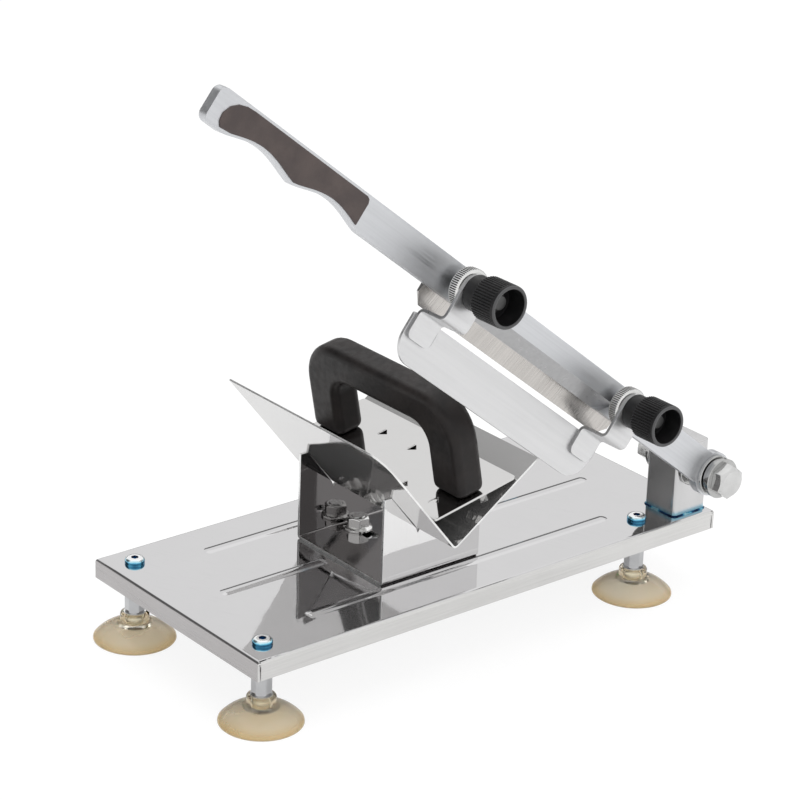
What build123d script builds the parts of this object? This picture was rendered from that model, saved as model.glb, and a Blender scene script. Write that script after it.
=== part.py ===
from build123d import *
import os
from math import cos, radians, sin, tan

os.makedirs("parts", exist_ok=True)

# Sizes in millimetres. X runs along the base towards the post, Y away from the blade, Z up.

# Base tray
base_length = 340
base_width = 156
base_height = 47.5
base_sheet = 1.5
lip_depth = 12
fold_radius = 2
bead_width = 5
bead_height = 0.9
bead_spacing = 49
long_bead = 274
short_bead = 220
bead_gap = 5

# Suction feet
foot_inset_left = 15.5
foot_inset_right = 48
foot_inset_side = 17
foot_screw_radius = 3
foot_head_radius = 5.75
foot_head_height = 3.3
foot_socket_width = 4
standoff_width = 10
cup_radius = 24
cup_height = 16.5
cup_dome_height = 9.5
cup_bulge = 2.2
cup_neck_radius = 8.4
cup_lip = 1.6
insert_radius = 4.9
insert_depth = 7

# Post and pivot
post_size = 26
post_wall = 2
post_radius = 3
post_inset = 2.5
post_head = 14
pivot_rise = 31.5
weld_bead = 2
weld_slope = 43
pivot_radius = 6
pivot_head_width = 18
pivot_head_height = 8
pivot_head_slope = 30
pivot_nut_height = 10
washer_radius = 12.2
washer_thickness = 2.5
spring_washer_radius = 11
spring_washer_thickness = 3.5
spring_washer_gap = 1.8
spacer_nut_height = 5.5
pivot_tail = 3

# Trough and its bracket
trough_length = 140
trough_sheet = 1.2
trough_left_width = 85.5
trough_right_width = 71
trough_left_slope = 51
trough_right_slope = 34.3
trough_bend = 2
trough_corner = 13
trough_setback = 0.5
valley_offset = -33.9
valley_rise = 30.6
bracket_left = -59
bracket_right = 12
bracket_setback = 33
bracket_depth = 79
bracket_sheet = 1.8
bracket_flat = 5
bracket_bend = 2.5
clamp_offset = -24
clamp_wall_gap = 2.2
clamp_radius = 4
clamp_tail = 0.7
clamp_head_height = 5.3
clamp_nut_width = 12
clamp_nut_height = 8
clamp_flange_radius = 8.5
clamp_flange_height = 1.5
clamp_slack_front = 12.8
clamp_slack_back = 0.8

# Arm, with its rest angle above the horizontal
arm_angle = 38.4
arm_length = 466
arm_height = 20
arm_thickness = 6
arm_eye_radius = 13.5
arm_tip_radius = 4.5
slope_gap_left = 15
slope_gap_right = 10
slope_top = 2
grip_start = 346
grip_end = 458
groove_count = 2
groove_pitch = 56
groove_end = 452
groove_depth = 5.3
groove_blend = 8
scale_thickness = 2
scale_pocket = 1.2
scale_rim = 1.4
scale_corner = 3

# Blade
blade_clear = 3
blade_thickness = 2.5
blade_margin_left = 16
blade_margin_right = 11.5
blade_top = 7
blade_reach = 20.5
blade_bevel = 10
blade_edge = 0.2
blade_corner = 6

# Studs, nuts and lock knobs
stud_middle = 183
stud_spacing = 156
stud_radius = 4
stud_head_radius = 6
countersink_slope = 45
stud_show = 4
nut_gap = 4.5
nut_radius = 12
nut_height = 8
nut_groove_count = 40
nut_groove_radius = 0.55
knob_neck_radius = 10
knob_neck_length = 9.5
knob_radius = 12.2
knob_length = 18
knob_hollow_radius = 10
knob_hollow_depth = 12
knob_draft = 3
knob_insert_radius = 6.5
knob_groove_count = 36
knob_groove_radius = 0.6

# Guide plate and its strips
slice_setting = 0.5
guide_thickness = 2
guide_margin = 11
guide_top = 24.2
guide_bottom = 50.6
guide_corner = 14.5
strip_thickness = 2
strip_width = 19.5
strip_shelf = 20.5
strip_tab_end = 38
strip_bend = 2
strip_corner = 4
strip_end_radius = 9.6

# Pusher
pusher_length = 138
pusher_width = 60
pusher_sheet = 1.5
pusher_tilt = 11
pusher_handle_length = 135
pusher_handle_height = 60
pusher_handle_width = 19
pusher_foot_length = 26
pusher_bar_height = 21
pusher_outer_radius = 27
pusher_inner_radius = 12
pusher_edge_radius = 5
pusher_screw_radius = 2.5
pusher_nut_width = 8
pusher_nut_height = 4
tooth_count = 5
tooth_pitch = 27
tooth_width = 7
tooth_height = 5
tooth_angle = 50
tooth_row_share = (0.22, 0.7)

# Fits and cutting overrun
running_clearance = 0.05
hole_clearance = 0.2
seat_clearance = 0.3
overrun = 5

# The studs' places along the arm, and what is set out from them.
stud_left = stud_middle + stud_spacing / 2
stud_right = stud_middle - stud_spacing / 2
blade_start = stud_right - blade_margin_right
blade_end = stud_left + blade_margin_left
slope_start = stud_right + slope_gap_right
slope_end = stud_left - slope_gap_left
guide_length = stud_spacing + 2 * guide_margin

# The origin lies on the ground under the middle of the whole machine.
swing = radians(arm_angle)
pivot_x = base_length / 2 - post_inset - post_size / 2
pivot_z = base_height + pivot_rise
front_y = -base_width / 2
trough_front_y = front_y + trough_setback
blade_back_y = trough_front_y - blade_clear
blade_front_y = blade_back_y - blade_thickness
arm_front_y = blade_front_y - arm_thickness
post_front_y = blade_front_y + 2 * washer_thickness + spacer_nut_height
nut_back_y = arm_front_y - nut_gap
nut_front_y = nut_back_y - nut_height
strip_front_y = nut_front_y - strip_thickness
knob_head_y = strip_front_y - knob_neck_length
knob_rim_y = knob_head_y - knob_length
guide_back_y = blade_back_y - slice_setting
guide_front_y = guide_back_y - guide_thickness
foot_y = base_width / 2 - foot_inset_side
tip_reach = (
    pivot_x
    - (arm_length - arm_tip_radius) * cos(swing)
    - (arm_height / 2 - arm_tip_radius) * sin(swing)
    - arm_tip_radius
)
base_x = -(tip_reach + base_length / 2) / 2
base_y = -(knob_rim_y + foot_y + cup_radius) / 2


def level(z):
    """Horizontal plane at height z, centred on the base."""
    return Plane(origin=(base_x, base_y, z))


def upright(y):
    """Upright plane that looks to the front, at y from the middle of the base."""
    return Plane(origin=(base_x, base_y + y, 0), x_dir=(1, 0, 0), z_dir=(0, -1, 0))


def along_arm(y):
    """Plane of the arm at y: x runs from the pivot to the tip, y across the bar."""
    pivot = (base_x + pivot_x, base_y + y, pivot_z)
    return Plane(origin=pivot, x_dir=(-cos(swing), 0, sin(swing)), z_dir=(0, 1, 0))


def across_arm(u):
    """Plane square to the arm at u from the pivot: x towards the front, y across the bar."""
    middle = (base_x + pivot_x - u * cos(swing), base_y, pivot_z + u * sin(swing))
    return Plane(origin=middle, x_dir=(0, -1, 0), z_dir=(-cos(swing), 0, sin(swing)))


def keep(part, name):
    """Labels a finished piece and writes it under its own name."""
    part.label = name
    export_step(part, f"parts/{name}.step")


feet = {
    "front_left": (foot_inset_left - base_length / 2, -foot_y),
    "back_left": (foot_inset_left - base_length / 2, foot_y),
    "front_right": (base_length / 2 - foot_inset_right, -foot_y),
    "back_right": (base_length / 2 - foot_inset_right, foot_y),
}
foot_places = list(feet.values())
bracket_inner_y = front_y + bracket_setback + bracket_depth - bracket_sheet
clamp_place = (clamp_offset, bracket_inner_y - clamp_wall_gap - clamp_flange_radius)

# Base tray: one folded sheet, open below, with stiffening beads pressed up in it.
with BuildPart() as base_plate:
    with BuildSketch(level(base_height)):
        Rectangle(base_length, base_width)
    extrude(amount=-lip_depth)
    fillet(base_plate.edges().group_by(Axis.Z)[-1], fold_radius)
    offset(amount=-base_sheet, openings=base_plate.faces().sort_by(Axis.Z)[0])
    with BuildSketch(level(base_height)):
        with Locations((0, -bead_spacing), (0, bead_spacing)):
            SlotOverall(short_bead, bead_width)
        for side, end in ((-1, bracket_left - bead_gap), (1, bracket_right + bead_gap)):
            run = long_bead / 2 - side * end
            with Locations((side * (long_bead / 2 - run / 2), 0)):
                SlotOverall(run, bead_width)
    extrude(amount=bead_height)
    fillet(base_plate.edges().group_by(Axis.Z)[-1], bead_height * 2 / 3)
    with BuildSketch(level(base_height + overrun)):
        with Locations(*foot_places):
            Circle(foot_screw_radius + hole_clearance)
        with Locations(clamp_place):
            Circle(clamp_radius + hole_clearance)
    extrude(amount=-2 * overrun, mode=Mode.SUBTRACT)
keep(base_plate.part, "base_plate")

# Foot screws: button heads with hex sockets, through the tray into the standoffs.
under_plate = base_height - base_sheet
screw_reach = 2 * foot_screw_radius
with BuildPart() as foot_screws:
    with BuildSketch(level(base_height)):
        with Locations(*foot_places):
            Circle(foot_head_radius)
    extrude(amount=foot_head_height)
    fillet(foot_screws.edges().group_by(Axis.Z)[-1], foot_head_height * 0.6)
    with BuildSketch(level(base_height + foot_head_height)):
        with Locations(*foot_places):
            RegularPolygon(foot_socket_width / 2, 6, major_radius=False)
    extrude(amount=-foot_head_height * 0.7, mode=Mode.SUBTRACT)
    with BuildSketch(level(base_height)):
        with Locations(*foot_places):
            Circle(foot_screw_radius)
    extrude(amount=-base_sheet - screw_reach)
keep(foot_screws.part, "foot_screws")

# Each foot: hex standoff with a stud below, rubber cup, and a metal insert in the cup's neck.
neck_floor = cup_height - insert_depth
for name, (x, y) in feet.items():
    with BuildPart() as standoff:
        with BuildSketch(level(cup_height)):
            with Locations((x, y)):
                RegularPolygon(standoff_width / 2, 6, major_radius=False)
        extrude(amount=under_plate - cup_height)
        with BuildSketch(level(under_plate)):
            with Locations((x, y)):
                Circle(foot_screw_radius)
        extrude(amount=-screw_reach, mode=Mode.SUBTRACT)
        with BuildSketch(level(cup_height)):
            with Locations((x, y)):
                Circle(foot_screw_radius)
        extrude(amount=-insert_depth)
    keep(standoff.part, f"standoff_{name}")

    side_plane = Plane(origin=(base_x + x, base_y + y, 0), x_dir=(1, 0, 0), z_dir=(0, -1, 0))
    with BuildPart() as cup:
        with BuildSketch(side_plane):
            with BuildLine():
                rim = Line((cup_radius - cup_lip, 0), (cup_radius, 0))
                edge = Line(rim @ 1, (cup_radius, cup_lip / 2))
                outer = SagittaArc(edge @ 1, (cup_neck_radius, cup_dome_height), -cup_bulge)
                neck = Line(outer @ 1, (cup_neck_radius, cup_height))
                top = Line(neck @ 1, (insert_radius, cup_height))
                pocket = Line(top @ 1, (insert_radius, neck_floor))
                floor = Line(pocket @ 1, (0, neck_floor))
                middle = Line(floor @ 1, (0, cup_dome_height - 2 * cup_lip))
                SagittaArc(middle @ 1, rim @ 0, cup_bulge - cup_lip / 2)
            make_face()
        revolve(axis=Axis((base_x + x, base_y + y, 0), (0, 0, 1)))
        fillet(cup.edges().group_by(Axis.Z)[-1].sort_by(SortBy.LENGTH)[-1], cup_lip)
    keep(cup.part, f"suction_cup_{name}")

with BuildPart() as cup_inserts:
    with BuildSketch(level(neck_floor)):
        with Locations(*foot_places):
            Circle(insert_radius)
            Circle(foot_screw_radius, mode=Mode.SUBTRACT)
    extrude(amount=insert_depth)
keep(cup_inserts.part, "cup_inserts")

# Post: square tube with a closed top, welded to the tray.
post_y = post_front_y + post_size / 2
post_top = pivot_z + post_head
with BuildPart() as post:
    with BuildSketch(level(base_height)):
        with Locations((pivot_x, post_y)):
            RectangleRounded(post_size, post_size, post_radius)
    extrude(amount=post_top - base_height)
    with BuildSketch(level(base_height)):
        with Locations((pivot_x, post_y)):
            Rectangle(post_size - 2 * post_wall, post_size - 2 * post_wall)
    extrude(amount=post_top - base_height - post_wall, mode=Mode.SUBTRACT)
    fillet(post.faces().sort_by(Axis.Z)[-1].edges(), post_wall / 2)
    with BuildSketch(upright(post_front_y - overrun)):
        with Locations((pivot_x, pivot_z)):
            Circle(pivot_radius + hole_clearance)
    extrude(amount=-post_size - 2 * overrun, mode=Mode.SUBTRACT)
keep(post.part, "post")

# Weld run round the foot of the post.
with BuildPart() as post_weld:
    with BuildSketch(level(base_height)):
        with Locations((pivot_x, post_y)):
            RectangleRounded(
                post_size + 2 * weld_bead, post_size + 2 * weld_bead, post_radius + weld_bead
            )
    extrude(amount=weld_bead, taper=weld_slope)
    with BuildSketch(level(base_height)):
        with Locations((pivot_x, post_y)):
            RectangleRounded(post_size, post_size, post_radius)
    extrude(amount=weld_bead, mode=Mode.SUBTRACT)
keep(post_weld.part, "post_weld")


# Pivot stack, from the front: bolt head, washer, spring washer, washer, arm, washer, nut, washer.
bolt_bore = pivot_radius + running_clearance
inner_washer_y = arm_front_y - washer_thickness
spring_washer_y = inner_washer_y - spring_washer_thickness
outer_washer_y = spring_washer_y - washer_thickness
post_back_y = post_front_y + post_size
for name, y in (
    ("pivot_washer_outer", outer_washer_y),
    ("pivot_washer_inner", inner_washer_y),
    ("spacer_washer_arm", blade_front_y),
    ("spacer_washer_post", post_front_y - washer_thickness),
    ("pivot_washer_back", post_back_y),
):
    with BuildPart() as washer:
        with BuildSketch(along_arm(y)):
            Circle(washer_radius)
            Circle(bolt_bore, mode=Mode.SUBTRACT)
        extrude(amount=washer_thickness)
        rims = washer.edges().filter_by(GeomType.CIRCLE).group_by(SortBy.RADIUS)[-1]
        chamfer(rims, washer_thickness / 8)
    keep(washer.part, name)

for name, y, height in (
    ("spacer_nut", blade_front_y + washer_thickness, spacer_nut_height),
    ("pivot_nut", post_back_y + washer_thickness, pivot_nut_height),
):
    with BuildPart() as hex_nut:
        with BuildSketch(along_arm(y)):
            RegularPolygon(pivot_head_width / 2, 6, major_radius=False)
            Circle(bolt_bore, mode=Mode.SUBTRACT)
        extrude(amount=height)
    keep(hex_nut.part, name)

# Spring washer: a split ring between the two flat ones.
with BuildPart() as spring_washer:
    with BuildSketch(along_arm(spring_washer_y)):
        Circle(spring_washer_radius)
        Circle(bolt_bore, mode=Mode.SUBTRACT)
        with Locations((0, spring_washer_radius)):
            Rectangle(spring_washer_gap, 2 * spring_washer_radius - bolt_bore, mode=Mode.SUBTRACT)
    extrude(amount=spring_washer_thickness)
keep(spring_washer.part, "pivot_spring_washer")

with BuildPart() as pivot_bolt:
    with BuildSketch(along_arm(outer_washer_y)):
        RegularPolygon(pivot_head_width / 2, 6, major_radius=False)
    extrude(amount=-pivot_head_height)
    with BuildSketch(along_arm(outer_washer_y - pivot_head_height)):
        Circle(pivot_head_width / 2)
    extrude(amount=pivot_head_height, taper=-pivot_head_slope, mode=Mode.INTERSECT)
    with BuildSketch(along_arm(outer_washer_y)):
        Circle(pivot_radius)
    extrude(amount=post_back_y + washer_thickness + pivot_nut_height + pivot_tail - outer_washer_y)
keep(pivot_bolt.part, "pivot_bolt")

# Trough: one sheet bent to a V that leans away from the blade's stroke.
left = radians(trough_left_slope)
right = radians(trough_right_slope)
valley = (valley_offset, base_height + valley_rise)
trough_back_y = trough_front_y + trough_length


def v_line(sheet):
    """The V's three corners, moved out from the inner face by the sheet's thickness."""
    out_left = (-sin(left) * sheet, -cos(left) * sheet)
    out_right = (sin(right) * sheet, -cos(right) * sheet)
    spread = 1 + cos(left + right)
    low = [(out_left[i] + out_right[i]) / spread + valley[i] for i in (0, 1)]
    top_left = (
        valley[0] - trough_left_width * cos(left) + out_left[0],
        valley[1] + trough_left_width * sin(left) + out_left[1],
    )
    top_right = (
        valley[0] + trough_right_width * cos(right) + out_right[0],
        valley[1] + trough_right_width * sin(right) + out_right[1],
    )
    return [top_left, tuple(low), top_right]


inner_v = v_line(0)
outer_v = v_line(trough_sheet)
with BuildPart() as trough:
    with BuildSketch(upright(trough_back_y)) as v_profile:
        with BuildLine():
            Polyline(*inner_v, *reversed(outer_v), close=True)
        make_face()
        fillet(v_profile.vertices().sort_by_distance((*inner_v[1], 0))[0], trough_bend)
        fillet(v_profile.vertices().sort_by_distance((*outer_v[1], 0))[0], trough_bend + trough_sheet)
    extrude(amount=trough_length)
    left_corner = (base_x + inner_v[0][0], base_y + trough_front_y, inner_v[0][1])
    left_normal = Axis((0, 0, 0), (-sin(left), 0, -cos(left)))
    fillet(trough.edges().filter_by(left_normal).sort_by_distance(left_corner)[0], trough_corner)
keep(trough.part, "trough")

# Saddle bracket: U of sheet whose two walls are notched to the trough's underside. The slot in its
# floor lets it slide along the tray, which sets the trough's distance from the blade.
bracket_front_y = front_y + bracket_setback
bracket_back_y = bracket_front_y + bracket_depth
wall_top = outer_v[1][1] + (outer_v[1][0] - bracket_left - bracket_flat) * tan(left)
right_top = outer_v[1][1] + (bracket_right - outer_v[1][0]) * tan(right)
with BuildPart() as trough_bracket:
    with BuildSketch(upright(bracket_back_y)):
        with BuildLine():
            Polyline(
                (bracket_left, base_height),
                (bracket_left, wall_top),
                (bracket_left + bracket_flat, wall_top),
                outer_v[1],
                (bracket_right, right_top),
                (bracket_right, base_height),
                close=True,
            )
        make_face()
    extrude(amount=bracket_depth)
    low_edges = trough_bracket.edges().filter_by(Axis.X).group_by(Axis.Z)[0]
    fillet(low_edges, bracket_bend)
    with BuildSketch(level(base_height + bracket_sheet)):
        with Locations(((bracket_left + bracket_right) / 2, (bracket_front_y + bracket_back_y) / 2)):
            Rectangle(bracket_right - bracket_left + 2 * overrun, bracket_depth - 2 * bracket_sheet)
    extrude(amount=wall_top, mode=Mode.SUBTRACT)
    with BuildSketch(upright(bracket_back_y + overrun)):
        with Locations(outer_v[1]):
            Circle(trough_bend)
    extrude(amount=bracket_depth + 2 * overrun, mode=Mode.SUBTRACT)
    slot_width = 2 * (clamp_radius + hole_clearance)
    slot_length = slot_width + clamp_slack_front + clamp_slack_back
    slot_middle_y = clamp_place[1] + (clamp_slack_back - clamp_slack_front) / 2
    with BuildSketch(level(base_height + overrun)):
        with Locations((clamp_offset, slot_middle_y)):
            SlotOverall(slot_length, slot_width, rotation=90)
    extrude(amount=-2 * overrun, mode=Mode.SUBTRACT)
keep(trough_bracket.part, "trough_bracket")

# Bracket bolt from under the tray, with its flange nut over the slot in the bracket's floor.
floor_top = base_height + bracket_sheet
with BuildPart() as bracket_bolt:
    with BuildSketch(level(under_plate)):
        with Locations(clamp_place):
            RegularPolygon(clamp_nut_width / 2, 6, major_radius=False)
    extrude(amount=-clamp_head_height)
    with BuildSketch(level(under_plate)):
        with Locations(clamp_place):
            Circle(clamp_radius)
    extrude(amount=floor_top + clamp_nut_height + clamp_tail - under_plate)
keep(bracket_bolt.part, "bracket_bolt")

with BuildPart() as bracket_nut:
    with BuildSketch(level(floor_top)):
        with Locations(clamp_place):
            Circle(clamp_flange_radius)
    extrude(amount=clamp_flange_height)
    with BuildSketch(level(floor_top)):
        with Locations(clamp_place):
            RegularPolygon(clamp_nut_width / 2, 6, major_radius=False)
    extrude(amount=clamp_nut_height)
    with BuildSketch(level(floor_top)):
        with Locations(clamp_place):
            Circle(clamp_radius + running_clearance)
    extrude(amount=clamp_nut_height, mode=Mode.SUBTRACT)
keep(bracket_nut.part, "bracket_nut")

# Studs: countersunk from behind the blade, through blade and arm to the lock knobs.
studs_at = {"left": stud_left, "right": stud_right}
stud_end_y = knob_rim_y + knob_hollow_depth - stud_show
stud_parts = {}
for side, u in studs_at.items():
    with BuildPart() as stud:
        with BuildSketch(along_arm(blade_back_y)):
            with Locations((u, 0)):
                Circle(stud_head_radius)
        extrude(amount=stud_radius - stud_head_radius, taper=countersink_slope)
        with BuildSketch(along_arm(blade_back_y)):
            with Locations((u, 0)):
                Circle(stud_radius)
        extrude(amount=stud_end_y - blade_back_y)
        chamfer(stud.edges().group_by(Axis.Y)[0], stud_radius / 6)
    stud_parts[side] = stud.part
    keep(stud.part, f"stud_{side}")

# Arm bar: flat bar with a round eye, a milled slope over the blade and finger grooves at the grip.
half = arm_height / 2
groove_radius = (groove_pitch**2 / 4 + groove_depth**2) / (2 * groove_depth)
groove_places = [
    (groove_end - (turn + 1 / 2) * groove_pitch, groove_depth - groove_radius - half)
    for turn in range(groove_count)
]


def on_groove_crest(corner):
    """True where two grooves meet, or a groove runs out into the straight edge."""
    return any(
        abs(corner.X - groove_end + turn * groove_pitch) < groove_depth / 2 and corner.Y < 0
        for turn in range(groove_count + 1)
    )


def grip_outline():
    """Draws the grip's scale in the present sketch, inside the bar's edge by the metal rim."""
    with Locations(((grip_start + grip_end) / 2, 0)):
        RectangleRounded(grip_end - grip_start, arm_height - 2 * scale_rim, scale_corner)
    with Locations(*groove_places):
        Circle(groove_radius + scale_rim, mode=Mode.SUBTRACT)


with BuildPart() as arm_bar:
    with BuildSketch(along_arm(arm_front_y)) as bar:
        with Locations((arm_length / 2, 0)):
            Rectangle(arm_length, arm_height)
        fillet(bar.vertices().group_by(Axis.X)[-1], arm_tip_radius)
        Circle(arm_eye_radius)
        with Locations(*groove_places):
            Circle(groove_radius, mode=Mode.SUBTRACT)
        fillet(bar.vertices().filter_by(on_groove_crest), groove_blend)
        Circle(pivot_radius + running_clearance, mode=Mode.SUBTRACT)
    extrude(amount=arm_thickness)
    with BuildSketch(across_arm(slope_start)):
        with BuildLine():
            Polyline(
                (-arm_front_y + overrun, -slope_top),
                (-arm_front_y, -slope_top),
                (-blade_front_y, -half),
                (-arm_front_y + overrun, -half - overrun),
                close=True,
            )
        make_face()
    extrude(amount=slope_end - slope_start, mode=Mode.SUBTRACT)
    for side in (arm_front_y, blade_front_y):
        inward = scale_pocket if side == arm_front_y else -scale_pocket
        with BuildSketch(along_arm(side)):
            grip_outline()
        extrude(amount=inward, mode=Mode.SUBTRACT)
    for stud_part in stud_parts.values():
        add(stud_part, mode=Mode.SUBTRACT)
keep(arm_bar.part, "arm_bar")

# Handle scales: dark plastic, bonded into shallow pockets on both faces of the bar.
for name, face, outward in (
    ("handle_scale_front", arm_front_y + scale_pocket, -scale_thickness),
    ("handle_scale_back", blade_front_y - scale_pocket, scale_thickness),
):
    with BuildPart() as handle_scale:
        with BuildSketch(along_arm(face)):
            grip_outline()
        extrude(amount=outward)
        outer_face = handle_scale.faces().filter_by(Axis.Y).sort_by(Axis.Y)[-1 if outward > 0 else 0]
        fillet(outer_face.edges(), (scale_thickness - scale_pocket) * 0.8)
    keep(handle_scale.part, name)

# Blade: flat on the trough's side, ground to its edge from the front.
with BuildPart() as blade:
    with BuildSketch(along_arm(blade_front_y)) as blade_outline:
        with Locations(((blade_start + blade_end) / 2, (blade_top - blade_reach) / 2)):
            Rectangle(blade_end - blade_start, blade_top + blade_reach)
        chamfer(blade_outline.vertices().group_by(Axis.Y)[0], blade_corner)
    extrude(amount=blade_thickness)
    with BuildSketch(across_arm(blade_start - overrun)):
        with BuildLine():
            Polyline(
                (-blade_front_y, -blade_bevel),
                (-blade_back_y + blade_edge, -blade_reach),
                (-blade_back_y + blade_edge, -blade_reach - overrun),
                (-blade_front_y + overrun, -blade_reach - overrun),
                (-blade_front_y + overrun, -blade_bevel),
                close=True,
            )
        make_face()
    extrude(amount=blade_end - blade_start + 2 * overrun, mode=Mode.SUBTRACT)
    for stud_part in stud_parts.values():
        add(stud_part, mode=Mode.SUBTRACT)
keep(blade.part, "blade")

# Guide plate: hangs below the blade's edge and stops the meat at the slice's thickness.
with BuildPart() as guide_plate:
    with BuildSketch(along_arm(guide_front_y)) as guide_outline:
        with Locations((stud_middle, -(guide_top + guide_bottom) / 2)):
            Rectangle(guide_length, guide_bottom - guide_top)
        fillet(guide_outline.vertices().group_by(Axis.Y)[0], guide_corner)
        fillet(guide_outline.vertices().group_by(Axis.Y)[-1], guide_thickness / 2)
    extrude(amount=guide_thickness)
keep(guide_plate.part, "guide_plate")

# Cranked strips: welded to the plate's front, bent out over its top and up to the studs.
tab_back = -guide_front_y
tab_front = tab_back + strip_thickness
riser_front = -strip_front_y
riser_back = riser_front - strip_thickness
shelf_low = -strip_shelf - strip_thickness
for side, u in studs_at.items():
    with BuildPart() as strip:
        with BuildSketch(across_arm(u - strip_width / 2)) as strip_profile:
            with BuildLine():
                Polyline(
                    (tab_back, -strip_tab_end),
                    (tab_back, -strip_shelf),
                    (riser_back, -strip_shelf),
                    (riser_back, strip_end_radius),
                    (riser_front, strip_end_radius),
                    (riser_front, shelf_low),
                    (tab_front, shelf_low),
                    (tab_front, -strip_tab_end),
                    close=True,
                )
            make_face()
            for inside in ((tab_front, shelf_low, 0), (riser_back, -strip_shelf, 0)):
                fillet(strip_profile.vertices().sort_by_distance(inside)[0], strip_bend)
            for outside in ((tab_back, -strip_shelf, 0), (riser_front, shelf_low, 0)):
                fillet(strip_profile.vertices().sort_by_distance(outside)[0], strip_bend + strip_thickness)
        extrude(amount=strip_width)
        cross_edges = strip.edges().filter_by(Axis.Y).filter_by(
            lambda edge: abs(edge.length - strip_thickness) < running_clearance
        )
        fillet(cross_edges.sort_by(Axis.Z)[-2:], strip_end_radius)
        cross_edges = strip.edges().filter_by(Axis.Y).filter_by(
            lambda edge: abs(edge.length - strip_thickness) < running_clearance
        )
        fillet(cross_edges.sort_by(Axis.Z)[:2], strip_corner)
        with BuildSketch(along_arm(strip_front_y - overrun)):
            with Locations((u, 0)):
                Circle(stud_radius + hole_clearance)
        extrude(amount=2 * overrun, mode=Mode.SUBTRACT)
    keep(strip.part, f"guide_strip_{side}")

# Knurled adjusting nuts, lock knobs and the knobs' metal inserts.
stud_bore = stud_radius + running_clearance
for side, u in studs_at.items():
    with BuildPart() as adjust_nut:
        with BuildSketch(along_arm(nut_front_y)):
            with Locations((u, 0)):
                Circle(nut_radius)
        extrude(amount=nut_height)
        chamfer(adjust_nut.edges(), nut_height / 8)
        with BuildSketch(along_arm(nut_front_y)):
            with Locations((u, 0)):
                with PolarLocations(nut_radius, nut_groove_count):
                    Circle(nut_groove_radius)
                Circle(stud_bore)
        extrude(amount=nut_height, mode=Mode.SUBTRACT)
    keep(adjust_nut.part, f"adjust_nut_{side}")

    with BuildPart() as lock_knob:
        with BuildSketch(along_arm(knob_head_y)):
            with Locations((u, 0)):
                Circle(knob_neck_radius)
        extrude(amount=knob_neck_length)
        with BuildSketch(along_arm(knob_rim_y)):
            with Locations((u, 0)):
                Circle(knob_radius)
        extrude(amount=knob_length)
        chamfer(lock_knob.edges().group_by(Axis.Y)[0], knob_groove_radius)
        with BuildSketch(along_arm(knob_rim_y)):
            with Locations((u, 0)):
                Circle(knob_hollow_radius)
        extrude(amount=knob_hollow_depth, taper=knob_draft, mode=Mode.SUBTRACT)
        with BuildSketch(along_arm(knob_rim_y + knob_length / 9)):
            with Locations((u, 0)):
                with PolarLocations(knob_radius, knob_groove_count):
                    Circle(knob_groove_radius)
        extrude(amount=knob_length, mode=Mode.SUBTRACT)
        with BuildSketch(along_arm(strip_front_y)):
            with Locations((u, 0)):
                Circle(knob_insert_radius)
        extrude(amount=-knob_neck_length - knob_length, mode=Mode.SUBTRACT)
    keep(lock_knob.part, f"lock_knob_{side}")

    with BuildPart() as knob_insert:
        with BuildSketch(along_arm(strip_front_y)):
            with Locations((u, 0)):
                Circle(knob_insert_radius)
                Circle(stud_bore, mode=Mode.SUBTRACT)
        extrude(amount=knob_rim_y + knob_hollow_depth - strip_front_y)
    keep(knob_insert.part, f"knob_insert_{side}")

# Pusher, seated in the trough with its two long edges on the V and tilted as it is held.
tilt = radians(pusher_tilt)
on_left = pusher_width * sin(right - tilt) / sin(left + right)
on_right = pusher_width * sin(left + tilt) / sin(left + right)
pusher_middle = (
    base_x + valley[0] + (on_right * cos(right) - on_left * cos(left)) / 2,
    base_y + trough_front_y + trough_length / 2,
    valley[1] + (on_right * sin(right) + on_left * sin(left)) / 2 + seat_clearance / cos(left),
)


def pusher_level(rise):
    """Plane of the pusher's sheet, at a rise above its underside."""
    middle = (
        pusher_middle[0] - rise * sin(tilt),
        pusher_middle[1],
        pusher_middle[2] + rise * cos(tilt),
    )
    return Plane(origin=middle, x_dir=(cos(tilt), 0, sin(tilt)), z_dir=(-sin(tilt), 0, cos(tilt)))


def pusher_facing(y):
    """Plane across the pusher at y from its middle: x across, y up from its underside."""
    middle = (pusher_middle[0], pusher_middle[1] + y, pusher_middle[2])
    return Plane(origin=middle, x_dir=(cos(tilt), 0, sin(tilt)), z_dir=(0, -1, 0))


tooth_places = [
    ((share - 1 / 2) * pusher_width, (turn - (tooth_count - 1) / 2) * tooth_pitch)
    for share in tooth_row_share
    for turn in range(tooth_count)
]
foot_gap = pusher_handle_length - pusher_foot_length
stud_places = [(0, -foot_gap / 2), (0, foot_gap / 2)]
with BuildPart() as pusher_plate:
    with BuildSketch(pusher_level(0)):
        RectangleRounded(pusher_width, pusher_length, strip_corner / 2)
    extrude(amount=pusher_sheet)
    with BuildSketch(pusher_level(pusher_sheet)):
        with Locations(*tooth_places):
            Triangle(a=tooth_width, B=tooth_angle, C=tooth_angle, rotation=180)
        with Locations(*stud_places):
            Circle(pusher_screw_radius)
    extrude(amount=-pusher_sheet, mode=Mode.SUBTRACT)
    tooth_rise = tooth_width / 2 * tan(radians(tooth_angle))
    for x, y in tooth_places:
        with BuildSketch(pusher_facing(y + tooth_rise / 2 + pusher_sheet / 3)):
            with BuildLine():
                Polyline(
                    (x - tooth_width / 2, pusher_sheet),
                    (x + tooth_width / 2, pusher_sheet),
                    (x, -tooth_height),
                    close=True,
                )
            make_face()
        extrude(amount=pusher_sheet)
keep(pusher_plate.part, "pusher_plate")

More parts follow.
